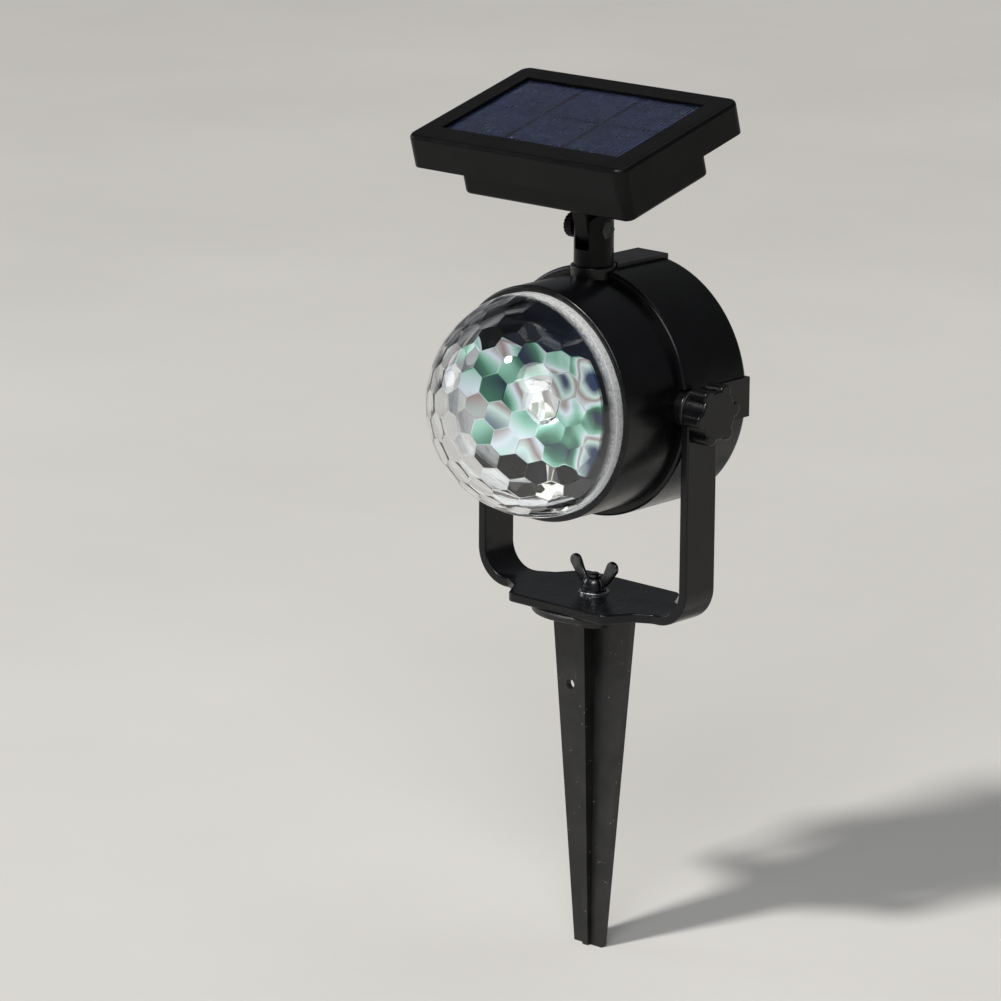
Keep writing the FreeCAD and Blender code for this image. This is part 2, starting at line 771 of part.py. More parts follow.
def make_friction_washers():
    washers = []
    for number, side in enumerate((1, -1), start=1):
        inner = D.strap_outer_half - D.strap_thick - 0.02
        low, high = (D.boss_reach, inner) if side > 0 else (-inner, -D.boss_reach)
        outside = cylinder(f"friction{number}_outside", "X", D.boss_radius - 0.3, low, high,
                           z=D.pivot_height)
        hole = cylinder(f"friction{number}_hole", "X", D.pivot_spigot_radius + 0.05, low, high,
                        z=D.pivot_height)
        washers.append(cut(f"friction{number}", outside, hole))
    keep("friction_washers", group("friction_washers", washers))


# ---------------------------------------------------------------- lamp head: light and drive
def make_light_deck():
    """The inner plate that carries the lights in front and the geared motor behind."""
    deck = Piece("light_deck", HEAD)
    front, rear = -D.deck_front, D.deck_thick - D.deck_front
    deck.pad("XZ", front, rear, circle(D.deck_radius))
    deck.pad("XZ", -D.pod_front, front, circle(D.pod_radius))
    deck.pocket("XZ", -D.pod_front, -D.pod_front + 1.8, circle(D.pod_radius - 3))
    deck.pocket("XZ", front - 6, rear, circle(D.pod_radius - 6))
    deck.pocket("XZ", front, rear, circle(2.2, 0, -MOTOR_DROP))
    for side in (-4.5, 4.5):
        deck.pocket("XZ", front, rear, circle(0.9, side, -MOTOR_DROP))
    for angle in DECK_SCREW_ANGLES:
        x, z = on_circle(D.screw_circle, angle)
        deck.pocket("XZ", front, rear, circle(1.3, x, z))


def make_deck_screws():
    screws = []
    for number, angle in enumerate(DECK_SCREW_ANGLES, start=1):
        x, z = on_circle(D.screw_circle, angle)
        screws.append(cross_head_screw(f"deck_screw{number}", "Y", -D.deck_front, -13, x, 0,
                                       z + D.pivot_height, shank=1.08, head=2.2, thick=1.3))
    keep("deck_screws", group("deck_screws", screws))


def make_led_board():
    board = Piece("led_board", HEAD)
    low = -D.pod_front
    board.pad("XZ", low, low + 1.6, circle(D.pod_radius - 3.1))


def make_led_emitters():
    """A square white package at the centre and a coloured one in each of three directions."""
    low = -D.pod_front
    chips = []
    for number, (reach, angle) in enumerate(LED_SPOTS, start=1):
        x, z = on_circle(reach, angle)
        height = D.pivot_height + z
        base = block(f"emitter{number}_base", x - 1.8, x + 1.8, low - 1.0, low, height - 1.8, height + 1.8)
        bead = doc.addObject("Part::Sphere", f"emitter{number}_bead")
        bead.Radius = 0.97
        place(bead, (x, low - 1.0, height))
        chips.append(fuse(f"emitter{number}", [base, bead]))
    keep("led_emitters", group("led_emitters", chips))


def make_reflector():
    """A wide silvered bowl round the lights, cut off flat above and below."""
    bowl = Piece("reflector", HEAD)
    low = -D.pod_front
    rim = D.reflector_radius
    front = low - 10.8
    bowl.revolve_y([
        (low - 0.05, 11),
        (low - 0.05, 12.6),
        (low - 1.2, 12.6),
        (front + 1.6, rim - 1.6),
        (front + 1.2, rim),
        (front, rim),
        (front, rim - 3.4),
        (low - 2.6, 11),
    ])
    top = D.reflector_half_height
    for bottom, cap in ((top, rim + 1), (-rim - 1, -top)):
        bowl.pocket("XZ", front - 1, low, rectangle(-rim - 1, rim + 1, bottom, cap))


def make_led_lens():
    """A clear collimating lens over the lights, on three short legs."""
    lens = Piece("led_lens", HEAD)
    low = -D.pod_front
    lens.revolve_y([
        (low - 3.2, 0),
        (low - 3.2, 10.4),
        (low - 4.6, 10.6),
        (low - 6.6, 9.4),
        (low - 8.6, 6.6),
        (low - 9.8, 3.2),
        (low - 10.1, 0),
    ])
    for angle in LENS_LEG_ANGLES:
        x, z = on_circle(9.6, angle)
        lens.pad("XZ", low - 3.6, low - 0.02, circle(0.7, x, z))


def make_motor():
    """A small flat-sided direct-current motor on its gearbox, with a through shaft to the pinion."""
    height = D.pivot_height - MOTOR_DROP
    face = D.deck_thick - D.deck_front
    gearbox_end = face + 9.0
    case = block("gearbox_case", -6, 6, face + 0.02, gearbox_end, height - 5, height + 5)
    bore = cylinder("gearbox_bore", "Y", 1.56, face - 1, face + 6, z=height)
    keep("motor_gearbox", cut("motor_gearbox", case, bore))

    can = Piece("motor_can", (0, 0, height))
    can.pad("XZ", gearbox_end, gearbox_end + 12.5, circle(6))
    can.pocket("XZ", gearbox_end, gearbox_end + 12.5, rectangle(-7, 7, 5, 7), rectangle(-7, 7, -7, -5))
    can.pad("XZ", gearbox_end + 12.5, gearbox_end + 14.0, circle(2.5))
    for side in (-3.5, 3.5):
        can.pad("XZ", gearbox_end + 12.5, gearbox_end + 15.5, rectangle(side - 0.2, side + 0.2, -1, 1))

    screws = []
    for number, side in enumerate((-4.5, 4.5), start=1):
        screws.append(cross_head_screw(f"motor_screw{number}", "Y", -D.deck_front, face + 0.01, side, 0,
                                       height, shank=0.8, head=1.5, thick=0.9))
    keep("motor_screws", group("motor_screws", screws))


def gear_outline(teeth, root, tip, root_fill, tip_fill):
    """A closed outline of straight-flanked teeth; each fill is the tooth's share of its pitch."""
    points = []
    pitch = 2 * math.pi / teeth
    for tooth in range(teeth):
        middle = tooth * pitch
        for radius, share in ((root, -root_fill), (tip, -tip_fill), (tip, tip_fill), (root, root_fill)):
            turn = middle + share * pitch / 2
            points.append(V(radius * math.cos(turn), 0, radius * math.sin(turn)))
    return Part.makePolygon(points + [points[0]])


def make_ring_gear():
    """The dome's internal gear: a guide flange in the barrel's recess, with teeth behind it."""
    flange = cylinder("ring_gear_flange", "Y", D.gear_recess_radius - 0.1, -D.dome_band_rear,
                      -D.gear_recess_end - 0.3)
    crown = cylinder("ring_gear_crown", "Y", D.barrel_bore - 0.3, -D.dome_band_rear, -D.gear_rear)
    blank = fuse("ring_gear_blank", [flange, crown])
    module = D.gear_module.number
    teeth = round(D.ring_teeth.number)
    pitch_radius = module * teeth / 2
    space = gear_outline(teeth, pitch_radius - 0.85 * module, pitch_radius + 1.05 * module, 0.78, 0.46)
    tool = doc.addObject("Part::Feature", "ring_gear_spaces")
    depth = 12
    tool.Shape = Part.Face(space).extrude(V(0, depth, 0))
    place(tool, (0, -D.dome_band_rear - 2, 0))
    gear = cut("ring_gear", blank, tool)
    place(gear, HEAD)
    keep("ring_gear", gear)


def make_motor_pinion():
    module = D.gear_module.number
    teeth = round(D.pinion_teeth.number)
    pitch_radius = module * teeth / 2
    outline = gear_outline(teeth, pitch_radius - 1.15 * module, pitch_radius + 0.8 * module, 0.56, 0.2)
    blank = doc.addObject("Part::Feature", "motor_pinion_teeth")
    blank.Shape = Part.Face(outline).extrude(V(0, 3.2, 0))
    # The ring gear's lowest tooth stands in a space of the pinion, so no pinion tooth points down.
    turn = 90 + 180 / teeth
    blank.Placement = FreeCAD.Placement(V(0, -26.4, -MOTOR_DROP.number),
                                        FreeCAD.Rotation(V(0, 1, 0), turn))
    bore = cylinder("motor_pinion_bore", "Y", 1.5, -27.5, -22, z=-MOTOR_DROP)
    pinion = cut("motor_pinion", blank, bore)
    place(pinion, HEAD)
    keep("motor_pinion", pinion)
    shaft = cylinder("motor_shaft", "Y", 1.5, -27.2, -14, z=D.pivot_height - MOTOR_DROP)
    keep("motor_shaft", shaft)


def make_driver_board():
    board = Piece("driver_board", HEAD)
    face = DRIVER_BOARD_REAR - DRIVER_BOARD_THICK
    board.pad("XZ", face, DRIVER_BOARD_REAR, rectangle(-26, 26, -17, 17))
    for x, z in DRIVER_BOARD_CORNERS:
        board.pocket("XZ", face, DRIVER_BOARD_REAR, circle(1.1, x, z))
    screws = []
    for number, (x, z) in enumerate(DRIVER_BOARD_CORNERS, start=1):
        screws.append(cross_head_screw(f"board_screw{number}", "Y", face, DRIVER_BOARD_REAR + 6, x, 0,
                                       z + D.pivot_height, shank=0.88, head=1.9, thick=1.1))
    keep("board_screws", group("board_screws", screws))


def make_driver_components():
    """Two capacitors, a chip, an inductor and two plug sockets on the driver board's front."""
    face = DRIVER_BOARD_REAR - DRIVER_BOARD_THICK
    height = D.pivot_height
    parts = [
        cylinder("capacitor1", "Y", 4, face - 11, face, x=-14, z=height + 8),
        cylinder("capacitor2", "Y", 3.2, face - 9, face, x=-4, z=height + 9),
        cylinder("inductor", "Y", 4.5, face - 5, face, x=13, z=height + 7),
        block("driver_chip", -6, 4, face - 1.6, face, height - 5, height + 1),
        block("socket1", -20, -11, face - 6, face, height - 13, height - 7),
        block("socket2", 8, 19, face - 6, face, height - 13, height - 7),
    ]
    keep("driver_components", group("driver_components", parts))


# ---------------------------------------------------------------- dome
def facet_directions(frequency):
    """Directions spread over the front half of a sphere by dividing an icosahedron's faces."""
    ratio = (1 + math.sqrt(5)) / 2
    corners = [V(*point) for point in
               [(0, a, b * ratio) for a in (1, -1) for b in (1, -1)]
               + [(a, b * ratio, 0) for a in (1, -1) for b in (1, -1)]
               + [(b * ratio, 0, a) for a in (1, -1) for b in (1, -1)]]
    side = 2.0
    found = {}
    for i, first in enumerate(corners):
        for j, second in enumerate(corners):
            for third in corners[j + 1:]:
                lengths = (first - second).Length, (second - third).Length, (third - first).Length
                if i >= j or max(lengths) > side + 1e-6:
                    continue
                for a in range(frequency + 1):
                    for b in range(frequency + 1 - a):
                        c = frequency - a - b
                        point = first * a + second * b + third * c
                        point.normalize()
                        found[tuple(round(value, 4) for value in point)] = point
    # One corner of the icosahedron points straight out of the lamp.
    turn = FreeCAD.Rotation(corners[0], V(0, -1, 0))
    return [turn.multVec(point) for point in found.values()]


def make_faceted_dome():
    """A clear half ball, smooth outside and cut to flat facets inside, with a plain band at its rim."""
    radius = D.dome_radius.number
    centre = D.dome_centre_y.number
    skirt, band = D.dome_skirt_radius.number, D.dome_band_radius.number
    band_front, band_rear = D.dome_band_front.number, D.dome_band_rear.number
    skirt_y = centre - math.sqrt(radius ** 2 - skirt ** 2)
    half_turn = math.asin(skirt / radius) / 2
    pole, shoulder = V(0, centre - radius, 0), V(skirt, skirt_y, 0)
    middle = V(radius * math.sin(half_turn), centre - radius * math.cos(half_turn), 0)
    arc = Part.Arc(pole, middle, shoulder).toShape()
    sides = Part.makePolygon([shoulder, V(skirt, -band_front, 0), V(band, -band_front, 0),
                              V(band, -band_rear, 0), V(0, -band_rear, 0), pole])
    ball = Part.Face(Part.Wire([arc] + sides.Edges)).revolve(V(0, 0, 0), V(0, 1, 0), 360)
    reach = radius - D.dome_wall.number
    bore_radius = D.dome_bore.number
    hollow = Part.makeCylinder(bore_radius, radius, V(0, centre, 0), V(0, -1, 0))
    for way in facet_directions(FACET_FREQUENCY):
        if way.y > FLATTEST_FACET:
            continue
        slab = Part.makeBox(120, 120, 60, V(-60, -60, 0))
        slab.Placement = FreeCAD.Placement(V(0, centre, 0) + way * reach,
                                           FreeCAD.Rotation(V(0, 0, 1), way))
        hollow = hollow.cut(slab)
    bore = Part.makeCylinder(bore_radius, 20, V(0, centre - 1, 0), V(0, 1, 0))
    dome = doc.addObject("Part::Feature", "faceted_dome")
    dome.Shape = ball.cut(hollow).cut(bore)
    place(dome, HEAD)
    keep("faceted_dome", dome)


# ---------------------------------------------------------------- tilt knobs
def make_knob(label, side):
    """A lobed thumb knob; its inner face is just clear of the bracket."""
    knob = Piece(label, HEAD)
    near, far = D.knob_inner, D.knob_inner + D.knob_thick
    low, high = (near, far) if side > 0 else (-far, -near)
    knob.pad("YZ", low, high, circle(D.knob_core_radius))
    lean_y, lean_z = on_circle(D.knob_lobe_circle, 90 - D.knob_lean.number)
    lobe = knob.pad("YZ", low, high, circle(D.knob_lobe_radius, lean_y, lean_z))
    knob.around(lobe, "X", D.knob_lobes)
    end = near + KNOB_THREAD
    bore_low, bore_high = (near, end) if side > 0 else (-end, -near)
    knob.pocket("YZ", bore_low, bore_high, circle(D.stud_radius))
    outer = (far if side > 0 else -far).number
    knob.fillet(0.9, lambda edge: abs(edge.CenterOfMass.x - outer) < 1e-4)
    stud_low, stud_high = (49, end) if side > 0 else (-end, -49)
    stud = cylinder(label.replace("knob", "stud"), "X", D.stud_radius, stud_low, stud_high,
                    z=D.pivot_height)
    keep(label.replace("knob", "stud"), stud)


# ---------------------------------------------------------------- post
def make_post():
    """The upright post: a spigot in the collar, a round column, and a clevis open to front and rear."""
    post = Piece("post", (0, D.post_y, D.pivot_height))
    top = D.hinge_height + D.post_radius
    post.pad("XY", D.collar_top + 0.05, top, circle(D.post_radius))
    clip_low, clip_high = CLIP_SPAN
    post.pad("XY", 40.5, D.collar_top + 0.2, circle(D.post_spigot_radius))
    post.turn("Groove", "XZ", "V_Axis", [
        (D.post_spigot_radius - 0.9, clip_low), (D.post_spigot_radius + 1, clip_low),
        (D.post_spigot_radius + 1, clip_high), (D.post_spigot_radius - 0.9, clip_high),
    ])
    half = D.clevis_slot_half
    post.pocket("XZ", -10, 10, rectangle(-half, half, D.hinge_height - D.clevis_slot_drop, top + 1))
    reach = D.post_radius
    for way in (1, -1):
        # Each quarter above the hinge axis is cut back to a round ear top.
        quarter = [
            (way * reach * 1.2, D.hinge_height),
            (way * reach, D.hinge_height),
        ]
        steps = 8
        for step in range(1, steps + 1):
            turn = math.radians(90 * step / steps)
            quarter.append((way * reach * math.cos(turn), D.hinge_height + reach * math.sin(turn)))
        quarter.append((0, top + 1))
        quarter.append((way * reach * 1.2, top + 1))
        post.pocket("YZ", -10, 10, polygon(quarter))
    post.pocket("YZ", -10, 10, circle(D.hinge_hole_radius, 0, D.hinge_height))
    post.pocket("YZ", 5.0, 10, hexagon(7.0, 0, D.hinge_height))
    post.pocket("XY", 40, D.hinge_height - 4, circle(D.post_wire_radius))


def make_post_clip():
    clip = Piece("post_clip", (0, D.post_y, D.pivot_height))
    low, high = CLIP_SPAN
    clip.pad("XY", low + 0.05, high - 0.05, circle(8.0), circle(D.post_spigot_radius - 0.85))
    clip.pocket("XY", low, high, rectangle(-2.2, 2.2, -9, 0))


def make_hinge_nut():
    height = D.pivot_height + D.hinge_height
    nut = Piece("hinge_nut", (0, D.post_y, height))
    nut.pad("YZ", 5.02, 7.8, hexagon(6.9), circle(D.hinge_screw_radius + 0.05))


def make_panel_knob():
    """The small ribbed thumb wheel on the hinge screw."""
    height = D.pivot_height + D.hinge_height
    knob = Piece("panel_knob", (0, D.post_y, height))
    low, high = -12.4, -8.3
    knob.pad("YZ", low, high, circle(5.2))
    groove = knob.pocket("YZ", low, high, circle(0.4, 0, 5.35))
    knob.around(groove, "X", 20)
    knob.pocket("YZ", low + 1.0, high, circle(D.hinge_screw_radius))
    knob.fillet(0.5, lambda edge: abs(edge.CenterOfMass.x - low) < 1e-4)
    screw = cylinder("hinge_screw", "X", D.hinge_screw_radius, low + 1.0, 7.7, y=D.post_y, z=height)
    keep("hinge_screw", screw)


# ---------------------------------------------------------------- solar panel
class PanelPiece(Piece):
    """A body in the panel's own frame, tilted about the hinge axis."""

    def __init__(self, label):
        super().__init__(label, HINGE, (1, 0, 0), D.panel_tilt)
        bind(self.body, "Placement.Rotation.Angle", D.panel_tilt)


def tilt(label, thing):
    """Puts a solid made in the panel's own frame onto the tilted panel."""
    place(thing, HINGE, (1, 0, 0), D.panel_tilt)
    bind(thing, "Placement.Rotation.Angle", D.panel_tilt)
    return keep(label, thing)


def upright(half_x, half_y, y_shift=0):
    """Picks the upright corner edges of a rectangular block."""

    def test(edge):
        spot = edge.CenterOfMass
        leaning = abs(edge.tangentAt(edge.FirstParameter).z) > 0.98
        return (leaning and abs(abs(spot.x) - half_x.number) < 1.2
                and abs(abs(spot.y - as_size(y_shift).number) - half_y.number) < 1.2)

    return test


def make_panel_frame():
    """The upper moulding: a rounded tray upside down, with a sunk window for the cells."""
    frame = PanelPiece("panel_frame")
    top, bottom = D.panel_top, D.panel_top - D.panel_side
    half_x, half_y, shift = D.panel_half_x, D.panel_half_y, D.panel_shift

    def span(inset):
        return (inset - half_x, half_x - inset, shift - half_y + inset, shift + half_y - inset)

    frame.pad("XY", bottom, top, rectangle(*span(0)))
    frame.fillet(D.panel_corner, upright(half_x, half_y, shift))
    frame.fillet(2.0, lambda edge: abs(edge.CenterOfMass.z - top.number) < 1e-4)
    ledge = bottom + 3.0
    frame.pocket("XY", bottom, ledge, rectangle(*span(D.panel_wall)))
    frame.pocket("XY", ledge - 0.5, top - 2.2, rectangle(*span(D.ledge_wall)))
    window_y = shift + D.window_shift
    wide, deep = D.window_half_x, D.window_half_y
    frame.pocket("XY", top - 2.3, top - 0.9,
                 rectangle(-wide - 1.9, wide + 1.9, window_y - deep - 1.4, window_y + deep + 1.4))
    frame.pocket("XY", top - 3, top, rectangle(-wide, wide, window_y - deep, window_y + deep))
    for x, y in PANEL_SCREW_SPOTS:
        frame.pad("XY", bottom + 2.05, top - 3.5, circle(3.2, x, y + shift))
    for x, y in PANEL_SCREW_SPOTS:
        frame.pocket("XY", bottom + 2.05, top - 5, circle(1.1, x, y + shift))


def make_pv():
    """The solar module under the window: board, two strips of cells and a clear cover."""
    top = D.panel_top - 0.92
    window_y = D.panel_shift + D.window_shift
    wide, deep = D.window_half_x + 1.8, D.window_half_y + 1.3
    cover = PanelPiece("pv_cover")
    cover.pad("XY", top - 0.6, top, rectangle(-wide, wide, window_y - deep, window_y + deep))
    board = PanelPiece("pv_board")
    board.pad("XY", top - 2.5, top - 0.9, rectangle(-wide, wide, window_y - deep, window_y + deep))
    strips = []
    gap, margin = 1.2, 1.4
    for number, way in enumerate((1, -1), start=1):
        near = window_y + way * gap
        far = window_y + way * (D.window_half_y - margin)
        low_y, high_y = (near, far) if way > 0 else (far, near)
        reach = D.window_half_x - margin
        strips.append(block(f"pv_strip{number}", -reach, reach, low_y, high_y, top - 0.88, top - 0.62))
    tilt("pv_cells", group("pv_cells", strips))


def make_battery_box():
    """The lower moulding: a closing plate, the drafted battery box, and the hinge tongue under it."""
    box = PanelPiece("battery_box")
    bottom = D.panel_top - D.panel_side
    inset = D.panel_wall + 0.15
    plate = (inset - D.panel_half_x, D.panel_half_x - inset,
             D.panel_shift - D.panel_half_y + inset, D.panel_shift + D.panel_half_y - inset)
    box.pad("XY", bottom, bottom + 2, rectangle(*plate))
    half_x, half_y = D.box_half_x, D.box_half_y
    box.pad("XY", D.box_bottom, bottom + 0.5, rectangle(-half_x, half_x, -half_y, half_y))
    box.fillet(D.box_corner, upright(half_x, half_y))
    box.fillet(1.6, lambda edge: abs(edge.CenterOfMass.z - D.box_bottom.number) < 1e-4)
    wall = D.box_wall
    box.pocket("XY", D.box_bottom + wall, bottom + 2.5,
               rectangle(wall - half_x, half_x - wall, wall - half_y, half_y - wall))
    half, radius = D.tongue_half, D.tongue_radius
    box.pad("YZ", -half, half, rectangle(-radius, radius, 0, D.box_bottom + 0.5))
    box.pad("YZ", -half, half, circle(radius))
    box.pocket("YZ", -half - 1, half + 1, circle(D.hinge_hole_radius))
    box.pocket("XY", D.box_bottom - 1, D.box_bottom + wall + 0.5,
               circle(D.button_radius + 0.1, D.button_x, D.button_y))
    for x, y in PANEL_SCREW_SPOTS:
        box.pocket("XY", bottom - 0.5, bottom + 2.5, circle(1.4, x, y + D.panel_shift))
    for x in (-34, 34):
        box.pad("XY", D.box_bottom + wall - 0.3, CHARGE_BOARD_LOW, circle(2.0, x, CHARGE_BOARD_Y))


def make_panel_gasket():
    gasket = PanelPiece("panel_gasket")
    bottom = D.panel_top - D.panel_side + 2.02
    half_x, half_y, shift = D.panel_half_x, D.panel_half_y, D.panel_shift

    def loop(inset):
        return rectangle(inset - half_x, half_x - inset, shift - half_y + inset, shift + half_y - inset)

    gasket.pad("XY", bottom, bottom + 0.95, loop(2.5), loop(4.1))


def make_panel_screws():
    under = D.panel_top - D.panel_side
    screws = []
    for number, (x, y) in enumerate(PANEL_SCREW_SPOTS, start=1):
        screws.append(cross_head_screw(f"panel_screw{number}", "Z", under, under + 8, x,
                                       y + D.panel_shift, 0, shank=1.08, head=2.4, thick=1.4))
    tilt("panel_screws", group("panel_screws", screws))


def make_battery():
    """One round lithium cell lying across the box in a cradle, with a metal tab at each end."""
    half, radius = D.battery_half, D.battery_radius
    y, z = D.battery_y, D.battery_z
    cell = fuse("battery_cell", [
        cylinder("cell_can", "X", radius, -half, half - 1.2, y=y, z=z),
        cylinder("cell_button", "X", 3.0, half - 1.3, half, y=y, z=z),
    ])
    tilt("battery_cell", cell)
    floor = D.box_bottom + D.box_wall + 0.02
    trough = block("cradle_block", -half - 3, half + 3, y - 11, y + 11, floor, floor + 7.5)
    seat = cylinder("cradle_seat", "X", radius + 0.15, -half - 0.8, half + 0.8, y=y, z=z)
    tilt("battery_cradle", cut("battery_cradle", trough, seat))
    tabs = []
    for number, side in enumerate((1, -1), start=1):
        reach = half + 0.1
        low, high = (reach, reach + 0.4) if side > 0 else (-reach - 0.4, -reach)
        tabs.append(block(f"battery_tab{number}", low, high, y - 3.5, y + 3.5, floor + 6, z + 5))
    tilt("battery_tabs", group("battery_tabs", tabs))


def make_charge_board():
    board = PanelPiece("charge_board")
    wide, deep = CHARGE_BOARD_HALF_X, CHARGE_BOARD_HALF_Y
    board.pad("XY", CHARGE_BOARD_LOW + 0.02, CHARGE_BOARD_LOW + 1.2,
              rectangle(-wide, wide, CHARGE_BOARD_Y - deep, CHARGE_BOARD_Y + deep))
    low = D.box_bottom + D.box_wall
    switch = fuse("charge_switch", [
        block("switch_case", D.button_x - 3, D.button_x + 3, D.button_y - 3, D.button_y + 3,
              CHARGE_BOARD_LOW - 0.9, CHARGE_BOARD_LOW),
        cylinder("switch_plunger", "Z", 1.2, low + 1.0 + D.button_travel + 0.1, CHARGE_BOARD_LOW - 0.8,
                 D.button_x, D.button_y),
    ])
    tilt("charge_switch", switch)


def make_power_button():
    """The push button in the box's floor, kept in by a flange inside."""
    button = PanelPiece("power_button")
    floor = D.box_bottom + D.box_wall
    button.pad("XY", D.box_bottom - 1.6, floor + 0.1, circle(D.button_radius, D.button_x, D.button_y))
    button.pad("XY", floor + 0.05, floor + 1.0, circle(D.button_radius + 1.1, D.button_x, D.button_y))
    button.fillet(0.7, lambda edge: ring(edge, "Z", D.button_radius, D.box_bottom - 1.6))


make_ground_spike()
make_mounting_bolt()
make_flat_washer()
make_wing_nut()
make_u_bracket()
make_front_barrel()
make_bezel_ring()
make_rear_shell()
make_housing_seal()
make_housing_screws()
make_pivot_inserts()
make_friction_washers()
make_light_deck()
make_deck_screws()
make_led_board()
make_led_emitters()
make_reflector()
make_led_lens()
make_motor()
make_ring_gear()
make_motor_pinion()
make_driver_board()
make_driver_components()
make_faceted_dome()
make_knob("right_knob", 1)
make_knob("left_knob", -1)
make_post()
make_post_clip()
make_hinge_nut()
make_panel_knob()
make_panel_frame()
make_pv()
make_battery_box()
make_panel_gasket()
make_panel_screws()
make_battery()
make_charge_board()
make_power_button()

# ---------------------------------------------------------------- checks and export
doc.recompute()
for item in doc.Objects:
    if "Invalid" in item.State or "Error" in item.State:
        raise ValueError(f"{item.Name} failed: {item.State}")
for label, item in nodes.items():
    shape = item.Shape
    if shape.isNull() or not shape.isValid():
        raise ValueError(f"{label} has no valid shape")

os.makedirs("parts", exist_ok=True)
for label, item in nodes.items():
    item.Shape.exportStep(f"parts/{label}.step")
    print(label, len(item.Shape.Solids), round(item.Shape.Volume, 1))
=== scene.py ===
import itertools
import json
import math

import bmesh
import bpy
from mathutils import Matrix, Vector


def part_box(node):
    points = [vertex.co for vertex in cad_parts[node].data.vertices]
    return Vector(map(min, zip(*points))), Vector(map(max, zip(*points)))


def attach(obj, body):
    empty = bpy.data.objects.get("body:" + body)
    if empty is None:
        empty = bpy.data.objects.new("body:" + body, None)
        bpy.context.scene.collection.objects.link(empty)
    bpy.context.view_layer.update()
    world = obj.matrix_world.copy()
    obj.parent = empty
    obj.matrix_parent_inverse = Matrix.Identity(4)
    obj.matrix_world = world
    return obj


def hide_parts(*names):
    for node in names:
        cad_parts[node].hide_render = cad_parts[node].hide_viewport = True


# The looks of a solar light projector on a ground stake. Everything is in metres, in the CAD's frame:
# the origin is on the stake's axis under its flange, +Z is up and the lamp looks along -Y.

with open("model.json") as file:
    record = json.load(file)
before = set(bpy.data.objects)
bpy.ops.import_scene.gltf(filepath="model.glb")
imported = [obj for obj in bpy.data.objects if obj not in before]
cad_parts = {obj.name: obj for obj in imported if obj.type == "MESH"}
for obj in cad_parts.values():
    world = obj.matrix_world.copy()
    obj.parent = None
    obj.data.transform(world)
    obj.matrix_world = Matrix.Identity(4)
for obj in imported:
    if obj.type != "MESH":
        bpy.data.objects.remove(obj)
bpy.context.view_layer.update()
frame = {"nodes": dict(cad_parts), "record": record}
NODES = frame["nodes"]
BODY_OF = {node: body for body, members in frame["record"]["behaviour"]["bodies"].items() for node in members}
MM = 0.001
# The floor stands for the ground, with the last 23 mm of the stake's tip in it.
GROUND_Z = -147.3 * MM


# ---------------------------------------------------------------- material building
class Look:
    """A material whose surface detail comes from nodes in the piece's own coordinates."""

    def __init__(self, name, **sockets):
        self.material = bpy.data.materials.new(name)
        self.material.use_nodes = True
        self.tree = self.material.node_tree
        self.shader = self.tree.nodes["Principled BSDF"]
        self.coordinates = self.tree.nodes.new("ShaderNodeTexCoord").outputs["Object"]
        for socket, value in sockets.items():
            self.shader.inputs[socket.replace("_", " ")].default_value = value

    def node(self, kind, **inputs):
        made = self.tree.nodes.new(kind)
        for name, value in inputs.items():
            socket = made.inputs[name]
            if hasattr(value, "is_output"):
                self.tree.links.new(value, socket)
            else:
                socket.default_value = value
        return made

    def link(self, output, socket):
        self.tree.links.new(output, self.shader.inputs[socket])

    def stretched(self, scale):
        """The coordinates scaled by a different amount along each axis."""
        return self.node("ShaderNodeMapping", Vector=self.coordinates, Scale=scale).outputs["Vector"]

    def noise(self, scale, detail=3.0, rough=0.5, vector=None):
        return self.node("ShaderNodeTexNoise", Vector=vector or self.coordinates, Scale=scale,
                         Detail=detail, Roughness=rough).outputs["Fac"]

    def cells(self, scale, feature="F1"):
        node = self.node("ShaderNodeTexVoronoi", Vector=self.coordinates, Scale=scale)
        node.feature = feature
        return node.outputs["Distance"]

    def stripes(self, scale):
        """Even stripes that follow one another along X."""
        node = self.node("ShaderNodeTexWave", Vector=self.stretched((1, 0, 0)), Scale=scale, Distortion=0.0)
        node.bands_direction = "X"
        return node.outputs["Fac"]

    def ramp(self, factor, *stops):
        """Colours, or grey levels, at places along a factor."""
        node = self.node("ShaderNodeValToRGB", Fac=factor)
        marks = node.color_ramp.elements
        while len(marks) < len(stops):
            marks.new(0.5)
        for mark, (place, colour) in zip(marks, stops):
            mark.position = place
            mark.color = (colour,) * 3 + (1,) if isinstance(colour, (int, float)) else (*colour, 1)
        return node.outputs["Color"]

    def mix(self, factor, first, second):
        node = self.tree.nodes.new("ShaderNodeMix")
        node.data_type = "RGBA"
        node.blend_type = "MIX"
        for socket, value in ((node.inputs[0], factor), (node.inputs[6], first), (node.inputs[7], second)):
            if hasattr(value, "is_output"):
                self.tree.links.new(value, socket)
            else:
                socket.default_value = value if isinstance(value, (int, float)) else (*value, 1)
        return node.outputs[2]

    def math(self, operation, first, second=0.0):
        node = self.tree.nodes.new("ShaderNodeMath")
        node.operation = operation
        for socket, value in zip(node.inputs, (first, second)):
            if hasattr(value, "is_output"):
                self.tree.links.new(value, socket)
            else:
                socket.default_value = value
        return node.outputs[0]

    def bump(self, *layers):
        """Stacks bumps: each layer is (height, distance in metres, strength)."""
        normal = None
        for height, distance, strength in layers:
            node = self.node("ShaderNodeBump", Height=height, Distance=distance, Strength=strength)
            if normal is not None:
                self.tree.links.new(normal, node.inputs["Normal"])
            normal = node.outputs["Normal"]
        self.link(normal, "Normal")


DUST = (0.05, 0.046, 0.04)


